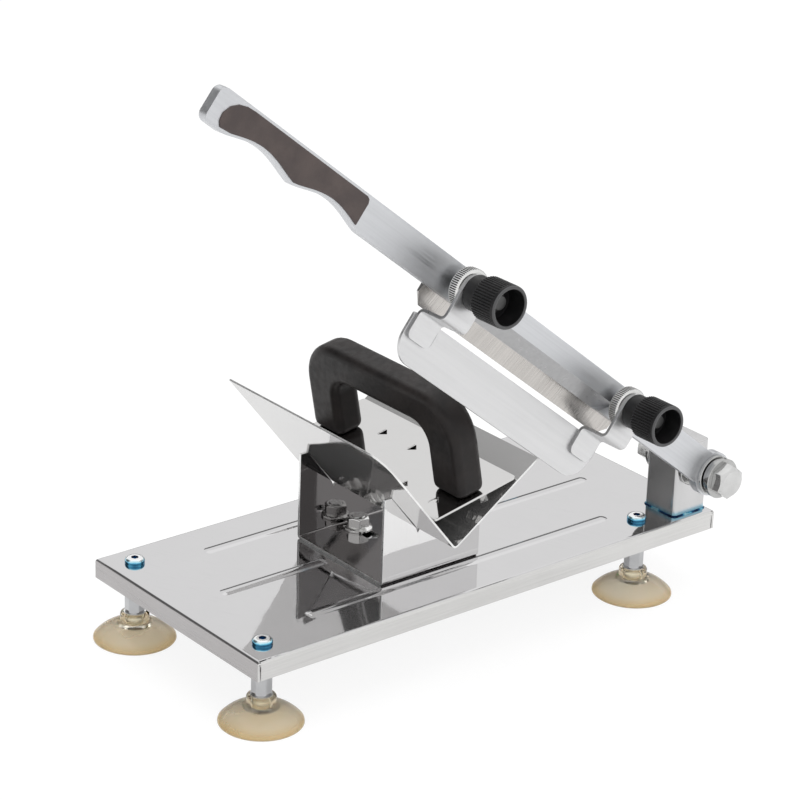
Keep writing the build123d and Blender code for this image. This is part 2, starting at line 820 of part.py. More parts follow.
# Pusher handle: moulded D with two feet, and metal studs moulded into the feet.
handle_plane = Plane(
    origin=pusher_level(pusher_sheet).origin, x_dir=(0, -1, 0), z_dir=(-cos(tilt), 0, -sin(tilt))
)
with BuildPart() as pusher_studs:
    with BuildSketch(pusher_level(-pusher_nut_height - pusher_screw_radius / 2)):
        with Locations(*stud_places):
            Circle(pusher_screw_radius)
    extrude(amount=pusher_nut_height + pusher_sheet + pusher_foot_length / 2)
with BuildPart() as pusher_handle:
    with BuildSketch(handle_plane) as handle_outline:
        with Locations((0, pusher_handle_height / 2)):
            Rectangle(pusher_handle_length, pusher_handle_height)
        fillet(handle_outline.vertices().group_by(Axis.Y)[-1], pusher_outer_radius)
        opening_height = pusher_handle_height - pusher_bar_height
        with BuildSketch(mode=Mode.SUBTRACT) as finger_gap:
            with Locations((0, opening_height / 2)):
                Rectangle(pusher_handle_length - 2 * pusher_foot_length, opening_height)
            fillet(finger_gap.vertices().group_by(Axis.Y)[-1], pusher_inner_radius)
    extrude(amount=pusher_handle_width / 2, both=True)
    side_edges = pusher_handle.faces().filter_by(Axis(handle_plane.origin, handle_plane.z_dir)).edges()
    seat = handle_plane.origin
    up = handle_plane.y_dir
    fillet(
        side_edges.filter_by(lambda edge: (edge.center() - seat).dot(up) > running_clearance),
        pusher_edge_radius,
    )
    add(pusher_studs.part, mode=Mode.SUBTRACT)
keep(pusher_handle.part, "pusher_handle")
keep(pusher_studs.part, "pusher_studs")

with BuildPart() as pusher_nuts:
    with BuildSketch(pusher_level(0)):
        with Locations(*stud_places):
            RegularPolygon(pusher_nut_width / 2, 6, major_radius=False)
            Circle(pusher_screw_radius, mode=Mode.SUBTRACT)
    extrude(amount=-pusher_nut_height)
keep(pusher_nuts.part, "pusher_nuts")
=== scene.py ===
from math import atan2, cos, hypot, pi, radians, sin, sqrt, tan

import bpy
from mathutils import Matrix, Quaternion, Vector


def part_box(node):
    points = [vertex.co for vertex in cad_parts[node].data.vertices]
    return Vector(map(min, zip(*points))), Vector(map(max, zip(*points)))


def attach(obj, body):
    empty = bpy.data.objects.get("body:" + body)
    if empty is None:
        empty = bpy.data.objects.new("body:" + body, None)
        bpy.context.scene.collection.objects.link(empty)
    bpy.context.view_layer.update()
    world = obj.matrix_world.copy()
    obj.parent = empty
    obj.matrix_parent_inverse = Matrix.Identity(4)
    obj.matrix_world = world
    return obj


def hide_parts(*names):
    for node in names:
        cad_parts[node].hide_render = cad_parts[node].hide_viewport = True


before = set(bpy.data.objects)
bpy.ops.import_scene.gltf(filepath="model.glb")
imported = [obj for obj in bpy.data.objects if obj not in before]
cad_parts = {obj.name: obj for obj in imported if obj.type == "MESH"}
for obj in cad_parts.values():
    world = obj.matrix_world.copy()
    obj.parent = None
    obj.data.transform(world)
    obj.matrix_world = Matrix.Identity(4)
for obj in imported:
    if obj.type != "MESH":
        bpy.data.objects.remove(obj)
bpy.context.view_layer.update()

# Camera: it stands at the left front, a little above the raised arm, and looks down along the
# tray's diagonal. Place, slight roll and long lens follow the photograph.
bpy.ops.object.camera_add(location=(-0.99696, -1.1878, 0.7931))
camera = bpy.context.object
camera.data.sensor_width = 36
camera.data.lens = 134.4
looked_at = Vector((0.0213, 0.0376, 0.1274))
camera_roll = radians(2.076)
upright = (camera.location - looked_at).to_track_quat("Z", "Y")
camera.rotation_euler = (upright @ Quaternion((0, 0, 1), camera_roll)).to_euler()
bpy.context.scene.camera = camera
bpy.context.scene.view_settings.view_transform = "Standard"


# Floor: a pale, matt sheet of paper that the feet stand on. It keeps the object's shadow. The
# camera sees it near white, and polished metal sees more of its shading.
class Wire:
    """One output in a node tree. Sums and products on it add Math nodes."""

    def __init__(self, socket):
        self.socket = socket

    def node(self, kind, settings, inputs, output=0):
        """Adds a node of a kind, sets it, joins or fills its sockets, and gives back one output."""
        added = self.socket.id_data.nodes.new("ShaderNode" + kind)
        for name, value in settings.items():
            if name == "stops":
                ramp = added.color_ramp.elements
                while len(ramp) < len(value):
                    ramp.new(1)
                for stop, (place, colour) in zip(ramp, value):
                    stop.position = place
                    stop.color = (*colour, 1)
            else:
                setattr(added, name, value)
        for name, value in inputs.items():
            if isinstance(value, Wire):
                self.socket.id_data.links.new(value.socket, added.inputs[name])
            else:
                added.inputs[name].default_value = value
        return Wire(added.outputs[output])

    def maths(self, operation, *values):
        return self.node("Math", {"operation": operation}, dict(enumerate(values)))

    def __add__(self, other):
        return self.maths("ADD", self, other)

    def __sub__(self, other):
        return self.maths("SUBTRACT", self, other)

    def __rsub__(self, other):
        return self.maths("SUBTRACT", other, self)

    def __mul__(self, other):
        return self.maths("MULTIPLY", self, other)

    __radd__ = __add__
    __rmul__ = __mul__

    def step(self, low, high, start=0.0, end=1.0):
        """A soft step: start at low and below it, end at high and above it."""
        values = {"Value": self, "From Min": low, "From Max": high, "To Min": start, "To Max": end}
        return self.node("MapRange", {"interpolation_type": "SMOOTHSTEP"}, values)

    def blend(self, first, second):
        """The colour that goes from first to second as this value goes from 0 to 1."""
        colours = {0: self}
        for place, colour in ((6, first), (7, second)):
            colours[place] = colour if isinstance(colour, Wire) else (*colour, 1)
        return self.node("Mix", {"data_type": "RGBA"}, colours, 2)


def clear_tree(owner, kind):
    """Empties a material's or world's nodes and gives back its output and its kinds of ray."""
    owner.use_nodes = True
    nodes = owner.node_tree.nodes
    nodes.clear()
    path = nodes.new("ShaderNodeLightPath").outputs
    rays = [Wire(path[name]) for name in ("Is Camera Ray", "Is Glossy Ray", "Is Transmission Ray")]
    return nodes.new("ShaderNodeOutput" + kind), rays


bpy.ops.mesh.primitive_plane_add(size=12)
floor = bpy.context.object
floor.name = "floor"
paper = bpy.data.materials.new("paper")
paper_output, (camera_ray, glossy_ray, through_ray) = clear_tree(paper, "Material")
seen = camera_ray + through_ray + glossy_ray * 0.35
paper_tone, paper_glow = (0.85, 0.85, 0.85, 1), 1.07
matt_paper = seen.node("BsdfDiffuse", {}, {"Color": paper_tone})
white_paper = seen.node("Emission", {}, {"Strength": paper_glow})
paper_mix = seen.node("MixShader", {}, {0: seen * 0.8, 1: matt_paper, 2: white_paper})
paper.node_tree.links.new(paper_mix.socket, paper_output.inputs["Surface"])
floor.data.materials.append(paper)

# Studio: soft even light from all round. Polished metal sees a white room in it, with a dark
# screen at the left back, a dark skirting low behind and a bright window high at the right back.
studio = bpy.data.worlds.new("studio")
bpy.context.scene.world = studio
studio_output, (camera_ray, glossy_ray, through_ray) = clear_tree(studio, "World")
direction = camera_ray.node("TexCoord", {}, {}, 0)


def towards(azimuth, height, inner, outer):
    """1 for directions within inner degrees of a compass place and height, 0 beyond outer."""
    flat = cos(radians(height))
    aim = (flat * cos(radians(azimuth)), flat * sin(radians(azimuth)), sin(radians(height)))
    near = direction.node("VectorMath", {"operation": "DOT_PRODUCT"}, {0: direction, 1: aim}, 1)
    return near.step(cos(radians(outer)), cos(radians(inner)))


dark_screen = towards(128, 30, 18, 34)
height_seen = direction.node("SeparateXYZ", {}, {0: direction}, 2)
skirting = towards(50, 0, 30, 60) * height_seen.step(0.2, 0.3, 1, 0)
window = towards(35, 68, 18, 34)
room = 1.0 - dark_screen * 0.86 - skirting * 0.8 + window * 0.15
sent_on = glossy_ray + through_ray
soft_level = 0.78
level = camera_ray + sent_on * room + (1.0 - camera_ray - sent_on) * soft_level
studio_light = level.node("Background", {}, {"Color": (1, 1, 1, 1), "Strength": level})
studio.node_tree.links.new(studio_light.socket, studio_output.inputs["Surface"])

lit_spot = Vector((0.02, 0.02, 0.1))
for name, place, size, power in (
    ("lamp_over", (0.1, -0.1, 1.6), 1.4, 9),
    ("lamp_front", (-0.4, -1.6, 1.1), 1.2, 7),
    ("lamp_back", (1.3, 1.0, 1.2), 1.0, 6),
):
    bpy.ops.object.light_add(type="AREA", location=place)
    lamp = bpy.context.object
    lamp.name = name
    lamp.data.size = size
    lamp.data.energy = power
    lamp.visible_glossy = False
    lamp.rotation_euler = (Vector(place) - lit_spot).to_track_quat("Z", "Y").to_euler()

# Base tray: one sheet of polished stainless steel, its four edges folded down to lips that stay
# open at the corners, with narrow stiffening beads pressed up in its top. The lips are drawn
# rather than polished, and the end ones are painted darker as shade.
mm = 0.001


def alone(piece):
    """Selects one piece and nothing else."""
    bpy.ops.object.select_all(action="DESELECT")
    piece.select_set(True)
    bpy.context.view_layer.objects.active = piece
    return piece


def finished(piece, kind, **settings):
    """Adds one modifier to a piece, sets it and applies it."""
    alone(piece)
    modifier = piece.modifiers.new(kind, kind)
    for name, value in settings.items():
        setattr(modifier, name, value)
    bpy.ops.object.modifier_apply(modifier=modifier.name)
    return piece


def outwards(piece):
    """Merges what lies together and turns all faces out."""
    alone(piece)
    bpy.ops.object.mode_set(mode="EDIT")
    bpy.ops.mesh.select_all(action="SELECT")
    bpy.ops.mesh.remove_doubles(threshold=0.002 * mm)
    bpy.ops.mesh.delete_loose()
    bpy.ops.mesh.select_all(action="SELECT")
    bpy.ops.mesh.normals_make_consistent(inside=False)
    bpy.ops.object.mode_set(mode="OBJECT")
    return piece


def eased(piece, width, steps=2, angle=30):
    """Rounds a piece's sharp edges by a width in millimetres and shades flat faces flat."""
    if width:
        finished(
            piece, "BEVEL", width=width * mm, segments=steps,
            limit_method="ANGLE", angle_limit=radians(angle),
        )
    alone(piece)
    bpy.ops.object.shade_smooth_by_angle(angle=radians(angle + 10))
    return finished(piece, "WEIGHTED_NORMAL", keep_sharp=True)


def pulled_grid(name, columns, rows, place):
    """A grid whose crossings are pulled to place(column, row), a point in millimetres."""
    bpy.ops.object.select_all(action="DESELECT")
    bpy.ops.mesh.primitive_grid_add(x_subdivisions=len(columns) - 1, y_subdivisions=len(rows) - 1)
    piece = bpy.context.object
    piece.name = piece.data.name = name
    for index, vertex in enumerate(piece.data.vertices):
        row, column = divmod(index, len(columns))
        vertex.co = Vector(place(columns[column], rows[row])) * mm
    return piece


def drop(piece, kind, unwanted):
    """Deletes the faces or the edges, as kind says, that a test picks out."""
    alone(piece)
    bpy.ops.object.mode_set(mode="EDIT")
    bpy.ops.mesh.select_mode(type=kind)
    bpy.ops.mesh.select_all(action="DESELECT")
    bpy.ops.object.mode_set(mode="OBJECT")
    for part in piece.data.polygons if kind == "FACE" else piece.data.edges:
        part.select = unwanted(part)
    bpy.ops.object.mode_set(mode="EDIT")
    bpy.ops.mesh.delete(type=kind)
    bpy.ops.mesh.select_mode(type="VERT")
    bpy.ops.object.mode_set(mode="OBJECT")


def finish(name, colour, roughness, metallic=1.0, **levels):
    """A new material: gives back it, its shader and a wire that carries Object coordinates.

    Levels fill more of the shader's sockets; a name's underscore stands for a space.
    """
    made = bpy.data.materials.new(name)
    made.use_nodes = True
    shader = made.node_tree.nodes["Principled BSDF"]
    levels.update(Base_Color=(*colour, 1), Roughness=roughness, Metallic=metallic)
    for socket, level in levels.items():
        shader.inputs[socket.replace("_", " ")].default_value = level
    places = made.node_tree.nodes.new("ShaderNodeTexCoord")
    return made, shader, Wire(places.outputs["Object"])


def feed(shader, **wires):
    """Joins wires to a shader's sockets; a name's underscore stands for a space."""
    for name, wire in wires.items():
        shader.id_data.links.new(wire.socket, shader.inputs[name.replace("_", " ")])


def stretched(place, scale, turn=(0, 0, 0)):
    """Coordinates stretched by a scale for each axis, after a turn in degrees."""
    settings = {"vector_type": "TEXTURE"}
    turned_place = place.node(
        "Mapping", settings, {"Vector": place, "Rotation": tuple(radians(angle) for angle in turn)}
    )
    return turned_place.node("Mapping", {}, {"Vector": turned_place, "Scale": scale})


def noise(place, scale, detail=2.0, roughness=0.5):
    values = {"Vector": place, "Scale": scale, "Detail": detail, "Roughness": roughness}
    return place.node("TexNoise", {}, values, 0)


def relief(height, distance):
    """A surface relief of this depth in metres."""
    return height.node("Bump", {}, {"Height": height, "Distance": distance})


def coat(piece, *finishes, pick=None):
    """Gives a piece its finishes, and each face the one whose number pick gives for it."""
    for made in finishes:
        piece.data.materials.append(made)
    if pick:
        for face in piece.data.polygons:
            face.material_index = int(pick(face))
    return piece


def mirror_steel(name, tone, wave, metallic=1.0):
    """Polished sheet: faint haze and fine wiping marks, and the slow waves of rolled metal."""
    made, shader, place = finish(name, tone, 0.05, metallic)
    haze = noise(place, 38, 3)
    wipes = noise(stretched(place, (900, 60, 60), (0, 0, 28)), 1, 2).step(0.56, 0.72)
    feed(shader, Roughness=haze.step(0.3, 0.8, 0.03, 0.07) + wipes * 0.05)
    dull = tuple(value * 0.94 for value in tone)
    feed(shader, Base_Color=(haze * 0.6 + wipes * 0.3).blend(tone, dull))
    feed(shader, Normal=relief(noise(place, 11, 1) + noise(place, 60, 1) * 0.04, wave))
    return made


def brushed_steel(name, tone, rough, scale, turn=(0, 0, 0), dulling=0.84, depth=0.00002):
    """Steel with the fine parallel lines that a belt leaves along one way."""
    made, shader, place = finish(name, tone, rough)
    lines = noise(stretched(place, scale, turn), 1, 3, 0.65)
    cloud = noise(place, 30, 2)
    feed(shader, Roughness=lines.step(0.3, 0.7, rough - 0.07, rough + 0.07))
    dull = tuple(value * dulling for value in tone)
    feed(shader, Base_Color=(lines * 0.7 + cloud * 0.3).step(0.35, 0.65).blend(tone, dull))
    feed(shader, Normal=relief(lines, depth))
    return made


tray_low, tray_high = (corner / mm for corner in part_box("base_plate"))
base_middle = (tray_low + tray_high) / 2
half_length = (tray_high.x - tray_low.x) / 2
half_width = (tray_high.y - tray_low.y) / 2
bead_height, bead_half, fold, lip, sheet = 0.9, 4.3, 2.0, 12.0, 1.5
tray_top = tray_high.z - bead_height
bead_runs = [(-115, 109, -49), (-115, 109, 49), (-139, -64, 0), (17, 137, 0)]
bead_shoulder = 1.6
seam = 0.7


def fold_steps(half):
    """Grid lines past a folded edge: flat place, way out and way down at each."""
    turns = [radians(22.5 * step) for step in range(1, 5)]
    bent = [(half, fold * sin(turn), fold * (1 - cos(turn))) for turn in turns]
    return bent + [(half, fold, (fold + lip) / 2), (half, fold, lip)]


def both_sides(inner, half):
    """All grid lines across the tray: the inner ones and both folded edges."""
    outer = fold_steps(half)
    mirrored = [(-flat, -out, down) for flat, out, down in reversed(outer)]
    return mirrored + [(flat, 0, 0) for flat in sorted(inner)] + outer


bead_ends = [(-139, 1), (-115, 1), (-64, -1), (17, 1), (109, -1), (137, -1)]
end_lines = {end + way * bead_half * share / 5 for end, way in bead_ends for share in range(6)}
side_lines = {middle + bead_half * share / 5 for middle in (-49, 0, 49) for share in range(-5, 6)}
flat_x, flat_y = half_length - fold, half_width - fold
tray_columns = both_sides(end_lines | {-flat_x, flat_x, -30, -10}, flat_x)
tray_rows = both_sides(side_lines | {-flat_y, flat_y}, flat_y)


def bead_rise(x, y):
    """How far the beads lift the sheet at a place on the tray."""
    rise = 0
    for start, end, middle in bead_runs:
        beside = hypot(x - min(max(x, start + bead_half), end - bead_half), y - middle) / bead_half
        if beside < 1:
            rise = max(rise, bead_height * (1 + cos(pi * beside ** bead_shoulder)) / 2)
    return rise


def tray_place(column, row):
    (flat_u, out_u, down_u), (flat_v, out_v, down_v) = column, row
    x, y = flat_u + out_u, flat_v + out_v
    if down_u and abs(flat_v) == flat_y:
        y = flat_v + abs(out_u) * (1 if flat_v > 0 else -1)
    if down_v and abs(flat_u) == flat_x:
        x = flat_u - (sheet + seam - fold) * (1 if flat_u > 0 else -1)
    height = tray_top - max(down_u, down_v) + bead_rise(x, y)
    return base_middle.x + x, base_middle.y + y, height


def past_both_folds(face):
    """Whether a face of the flat pattern lies in a corner, where the sheet is cut away."""
    row, column = divmod(face.index, len(tray_columns) - 1)
    past_end = max(tray_columns[column][2], tray_columns[column + 1][2]) > 0
    return past_end and max(tray_rows[row][2], tray_rows[row + 1][2]) > 0


def tray_finish(face):
    """0 on the tray's top and underside, 1 on the long lips, 2 on the end lips, which are painted
    darker as shade.
    """
    if face.center.z / mm >= tray_top - fold * 0.4 or abs(face.normal.z) >= 0.6:
        return 0
    return 2 if abs(face.normal.x) > 0.6 else 1


base_tray = pulled_grid("base_tray", tray_columns, tray_rows, tray_place)
# Corner faces are found again by their rounded places. The rounding misses some, which stay.
corner_faces = {
    face.center.to_tuple(9) for face in base_tray.data.polygons if past_both_folds(face)
}
drop(base_tray, "FACE", lambda face: (face.center / mm * mm).to_tuple(9) in corner_faces)
finished(base_tray, "SOLIDIFY", thickness=sheet * mm, offset=-1)
outwards(base_tray)
eased(base_tray, 0.2, angle=50)
mirror_tray = mirror_steel("mirror_tray", (0.635, 0.63, 0.635), 0.0009)
lip_lines, lip_depth = (14, 14, 1400), 0.000002
lip_steel = brushed_steel(
    "lip_steel", (0.69, 0.685, 0.675), 0.2, lip_lines, dulling=0.93, depth=lip_depth
)
# The end lips' darker tone is painted shade, for the faces that look along the tray away from the
# light.
end_lip_painted_shade = brushed_steel(
    "end_lip_painted_shade", (0.47, 0.455, 0.455), 0.24, lip_lines, dulling=0.9, depth=lip_depth
)
coat(base_tray, mirror_tray, lip_steel, end_lip_painted_shade, pick=tray_finish)
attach(base_tray, "frame")
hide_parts("base_plate")

# Foot screws: four button heads with hex sockets, plated in blue zinc. They come through the
# tray from above into the standoffs.
def outlined(name, points, **settings):
    """The start of a piece: a closed line through these points, in millimetres."""
    bpy.ops.object.select_all(action="DESELECT")
    bpy.ops.mesh.primitive_circle_add(vertices=len(points), **settings)
    piece = bpy.context.object
    piece.name = piece.data.name = name
    for vertex, point in zip(piece.data.vertices, points):
        vertex.co = [value * mm for value in point]
    return piece


def turned(name, profile, steps=48):
    """A round piece: half a section, as (radius, height) in millimetres, spun about its Z axis."""
    piece = outlined(name, [(radius, 0, height) for radius, height in profile])
    bpy.ops.object.mode_set(mode="EDIT")
    bpy.ops.mesh.select_all(action="SELECT")
    bpy.ops.mesh.spin(steps=steps, angle=2 * pi, center=(0, 0, 0), axis=(0, 0, 1))
    bpy.ops.object.mode_set(mode="OBJECT")
    return outwards(piece)


def blank(name, outline, low, high):
    """A plate cut to an outline of (x, y) points, from low to high in Z, in millimetres."""
    piece = outlined(name, [(x, y, low) for x, y in outline], fill_type="NGON")
    bpy.ops.object.mode_set(mode="EDIT")
    bpy.ops.mesh.select_all(action="SELECT")
    lift = {"value": (0, 0, (high - low) * mm)}
    bpy.ops.mesh.extrude_region_move(TRANSFORM_OT_translate=lift)
    bpy.ops.object.mode_set(mode="OBJECT")
    return outwards(piece)


def hexagon(across_flats):
    radius = across_flats / sqrt(3)
    return [(radius * cos(pi / 3 * turn), radius * sin(pi / 3 * turn)) for turn in range(6)]


def cut(piece, tool, operation="DIFFERENCE"):
    """Cuts a tool out of a piece, or keeps only what both share, and throws the tool away."""
    finished(piece, "BOOLEAN", object=tool, operation=operation, solver="EXACT")
    bpy.data.objects.remove(tool)
    return piece


def placed(piece, matrix):
    piece.data.transform(matrix)
    return piece


def copies(name, piece, matrices):
    """Sets a piece out at several places and joins the copies to one piece."""
    made = []
    for matrix in matrices:
        one = piece.copy()
        one.data = piece.data.copy()
        one.data.transform(matrix)
        bpy.context.collection.objects.link(one)
        made.append(one)
    bpy.data.objects.remove(piece)
    return joined(name, made)


def joined(name, pieces):
    bpy.ops.object.select_all(action="DESELECT")
    for piece in pieces:
        piece.select_set(True)
    bpy.context.view_layer.objects.active = pieces[0]
    bpy.ops.object.join()
    pieces[0].name = pieces[0].data.name = name
    return pieces[0]


def at(x, y, z):
    return Matrix.Translation(Vector((x, y, z)) * mm)


def blue_zinc(name):
    """Bright plating, mottled, that turns from a painted silver reflection on the flats to cyan and
    a painted deep blue shade on the sides.
    """
    made, shader, place = finish(name, (0.8, 0.85, 0.88), 0.12)
    # The blue tint and mottling are the plating's own; silver on the flats is painted reflection
    # and deep blue on the sides painted shade.
    upness = place.node("SeparateXYZ", {}, {0: place.node("TexCoord", {}, {}, 1)}, 2)
    side = 1.0 - upness.maths("ABSOLUTE", upness)
    mottle_and_painted_light = side * 0.85 + noise(place, 260, 2) * 0.5 - 0.2
    stops = [(0.1, (0.86, 0.86, 0.86)), (0.42, (0.5, 0.8, 0.9)), (0.7, (0.1, 0.42, 0.64))]
    stops.append((0.95, (0.02, 0.1, 0.22)))
    feed(shader, Base_Color=mottle_and_painted_light.node("ValToRGB", {"stops": stops}, {0: mottle_and_painted_light}))
    feed(shader, Roughness=noise(place, 500, 2).step(0.3, 0.7, 0.06, 0.2))
    return made


foot_places = [(-131.95, -38), (-131.95, 84), (144.55, -38), (144.55, 84)]
head_profile = [(0, -7.5), (3, -7.5), (3, -1), (5.55, -1), (5.55, 0), (5.75, 0.25), (5.75, 1.5)]
head_profile += [(5.5, 2.3), (4.9, 2.95), (4.1, 3.25), (3.4, 3.3), (0, 3.3)]
socket_flats, socket_floor, socket_mouth = 4, 1, 4
socket = blank("socket", hexagon(socket_flats), socket_floor, socket_mouth)
screw = cut(turned("screw", head_profile), socket)
foot_screws = copies("foot_screws_shown", screw, [at(x, y, tray_top) for x, y in foot_places])
eased(foot_screws, 0)
coat(foot_screws, blue_zinc("blue_zinc"))
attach(foot_screws, "frame")
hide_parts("foot_screws")

# Standoffs: hex bars of satin zinc between tray and cups, turned to a cone at their lower end
# and tapped for the foot screws above.
def zinc_plate(name, tone, rough, grain=420):
    """Plated steel: satin, a little cloudy, with the plating's fine grain."""
    made, shader, place = finish(name, tone, rough)
    cloud = noise(place, 70, 3)
    fine = noise(place, grain, 2)
    feed(shader, Roughness=(cloud * 0.5 + fine * 0.5).step(0.3, 0.7, rough - 0.06, rough + 0.08))
    dull = tuple(value * 0.86 for value in tone)
    feed(shader, Base_Color=cloud.step(0.35, 0.75).blend(tone, dull))
    feed(shader, Normal=relief(fine, 0.00002))
    return made


satin_zinc = zinc_plate("satin_zinc", (0.53, 0.535, 0.545), 0.12)
bright_zinc = zinc_plate("bright_zinc", (0.78, 0.78, 0.77), 0.16)
feet = {
    "front_left": foot_places[0],
    "back_left": foot_places[1],
    "front_right": foot_places[2],
    "back_right": foot_places[3],
}
bar_flats, bar_turn = 10, Matrix.Rotation(radians(20), 4, "Z")
for foot, (x, y) in feet.items():
    body = [(0, 9.5), (3, 9.5), (3, 16.5), (4.7, 16.5), (5.8, 18), (5.8, 45.4), (5.3, 46), (0, 46)]
    bar = placed(blank("bar", hexagon(bar_flats), 5, 50), bar_turn)
    standoff = cut(turned("standoff", body), bar, "INTERSECT")
    standoff.name = standoff.data.name = "standoff_shown_" + foot
    eased(placed(standoff, at(x, y, 0)), 0.15)
    coat(standoff, satin_zinc)
    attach(standoff, "frame")
    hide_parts("standoff_" + foot)

# Suction cups: clear soft rubber gone a little amber, most of all at the rim, moulded with a
# round neck that is clearer. A metal ring with a flange lines the neck, and the standoff stands
# in it.
cup_rubber, cup_shader, cup_place = finish(
    "cup_rubber", (0.72, 0.66, 0.5), 0.2, 0.0,
    Transmission_Weight=0.72, IOR=1.42, Subsurface_Weight=0.15, Subsurface_Scale=0.006,
)
amber = noise(cup_place, 14, 1).step(0.3, 0.7)
cup_height = cup_place.node("SeparateXYZ", {}, {0: cup_place}, 2)
rim_amber = cup_height.step(0.5 * mm, 5 * mm, 0.75, 0)
feed(cup_shader, Base_Color=(amber * 0.5 + rim_amber).blend((0.67, 0.61, 0.49), (0.62, 0.47, 0.25)))
feed(cup_shader, Roughness=noise(cup_place, 30, 2).step(0.3, 0.7, 0.2, 0.28))
neck_rubber = finish(
    "neck_rubber", (0.93, 0.89, 0.78), 0.08, 0.0, Transmission_Weight=0.97, IOR=1.2
)[0]


def arc(start, end, bulge, steps):
    """Points along an arc from start to end that bulges to the left of the way by bulge."""
    (x0, y0), (x1, y1) = start, end
    run_x, run_y = x1 - x0, y1 - y0
    across = hypot(run_x, run_y)
    points = []
    for step in range(1, steps):
        share = step / steps
        rise = 4 * bulge * share * (1 - share)
        x = x0 + run_x * share - run_y / across * rise
        points.append((x, y0 + run_y * share + run_x / across * rise))
    return points


top_bulge, hollow_bulge, neck_foot = -1.4, 1.9, 9
for foot, (x, y) in feet.items():
    section = [(22.6, 0), (23.6, 0), (24, 0.3), (23.9, 0.9), (23.4, 1.4)]
    section += arc((23.4, 1.4), (8.6, 9.6), top_bulge, 10) + [(8.6, 9.6), (8.4, 10.6), (8.4, 15.1)]
    section += [(8.1, 15.9), (7.4, 16.4), (6.8, 16.5), (4.9, 16.5), (4.9, 9.5), (0, 9.5), (0, 6.9)]
    section += arc((0, 6.9), (22.6, 0), hollow_bulge, 12)
    cup = eased(placed(turned("suction_cup_shown_" + foot, section, 64), at(x, y, 0)), 0)
    coat(cup, cup_rubber, neck_rubber, pick=lambda face: face.center.z / mm > neck_foot)
    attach(cup, "frame")
    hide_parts("suction_cup_" + foot)

ring = [(3, 9.5), (4.85, 9.5), (4.85, 16.5), (6.4, 16.5), (6.4, 16.95), (6.2, 17.1), (3, 17.1)]
cup_rings = copies("cup_rings", turned("ring", ring), [at(x, y, 0) for x, y in foot_places])
eased(cup_rings, 0)
coat(cup_rings, bright_zinc)
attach(cup_rings, "frame")
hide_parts("cup_inserts")

# Post: square steel tube with rounded corners and a closed top, welded to the tray's right end.
# The pivot bolt goes through it, and the weld's heat has turned its foot blue.
def rounded(corners, steps=6):
    """An outline of (x, y, radius) corners, with each corner rounded."""
    outline = []
    for index, (x, y, radius) in enumerate(corners):
        before, after = corners[index - 1], corners[(index + 1) % len(corners)]
        back = Vector((before[0] - x, before[1] - y)).normalized()
        on = Vector((after[0] - x, after[1] - y)).normalized()
        if not radius:
            outline.append((x, y))
            continue
        half = back.angle(on) / 2
        middle = Vector((x, y)) + (back + on).normalized() * (radius / sin(half))
        start = Vector((x, y)) + back * (radius / tan(half)) - middle
        end = Vector((x, y)) + on * (radius / tan(half)) - middle
        sweep = start.angle_signed(end)
        for step in range(steps + 1):
            turn = sweep * step / steps
            point = middle + Matrix.Rotation(-turn, 2) @ start
            outline.append((point.x, point.y))
    return outline


post_low, post_high = (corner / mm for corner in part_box("post"))
post_middle = (post_low + post_high) / 2
post_side = (post_high.x - post_low.x) / 2
post_corner = 3
corners = [(-1, -1), (1, -1), (1, 1), (-1, 1)]
square = [(x * post_side, y * post_side, post_corner) for x, y in corners]
post = blank("post_shown", rounded(square), tray_top, post_high.z)
eased(placed(post, at(post_middle.x, post_middle.y, 0)), 0.9, 3)
post_steel, post_shader, post_place = finish("post_steel", (0.62, 0.617, 0.62), 0.24)
drawn = noise(stretched(post_place, (60, 60, 6)), 1, 3, 0.65)
plain_steel = drawn.step(0.35, 0.65).blend((0.62, 0.617, 0.62), (0.58, 0.578, 0.58))
tint_low, tint_high = (tray_top + 1) * mm, (tray_top + 4.5) * mm
post_height = post_place.node("SeparateXYZ", {}, {0: post_place}, 2)
warmed = post_height.step(tint_low, tint_high, 1, 0)
feed(post_shader, Base_Color=(warmed * 0.8).blend(plain_steel, (0.2, 0.5, 0.66)))
feed(post_shader, Roughness=drawn.step(0.3, 0.7, 0.22, 0.26))
coat(post, post_steel)
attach(post, "frame")
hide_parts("post")

# Weld: the rippled bead that joins the post's foot to the tray. Its heat left navy, blue and
# cyan colours on the steel.
weld_lap, weld_size, ripple_pitch = 260, 0.9, 1.3
lap_lines = list(range(weld_lap + 1))
weld_profile = [(-0.3, 0), (1, 0), (0.97, 0.12), (0.8, 0.45), (0.52, 0.75), (0.2, 0.95)]
weld_profile += [(0, 1), (-0.3, 1), (-0.3, 0)]


def round_post(share):
    """The place and the way out at a share of the way round the post's rounded square."""
    side, radius = 2 * (post_side - post_corner), post_corner
    lap = 4 * side + 2 * pi * radius
    run = (share % 1) * lap
    for quarter in range(4):
        turn = quarter * pi / 2
        if run < side:
            local, way = Vector((post_side, run - side / 2)), 0.0
            break
        run -= side
        if run < radius * pi / 2:
            way = run / radius
            local = Vector((side / 2 + radius * cos(way), side / 2 + radius * sin(way)))
            break
        run -= radius * pi / 2
    spin = Matrix(((cos(turn), -sin(turn)), (sin(turn), cos(turn))))
    return spin @ local, spin @ Vector((cos(way), sin(way))), lap


def weld_place(column, row):
    """The weld's section, led round the post; short and long waves make its ripples."""
    middle, out, lap = round_post(column / weld_lap)
    waves = 0.1 * sin(2 * pi * column * lap / weld_lap / ripple_pitch) + 0.08 * sin(column * 0.37)
    size = weld_size * min(1 + waves, 1)
    reach, rise = weld_profile[row]
    x, y = middle + out * reach * size
    return post_middle.x + x, post_middle.y + y, tray_top + rise * size


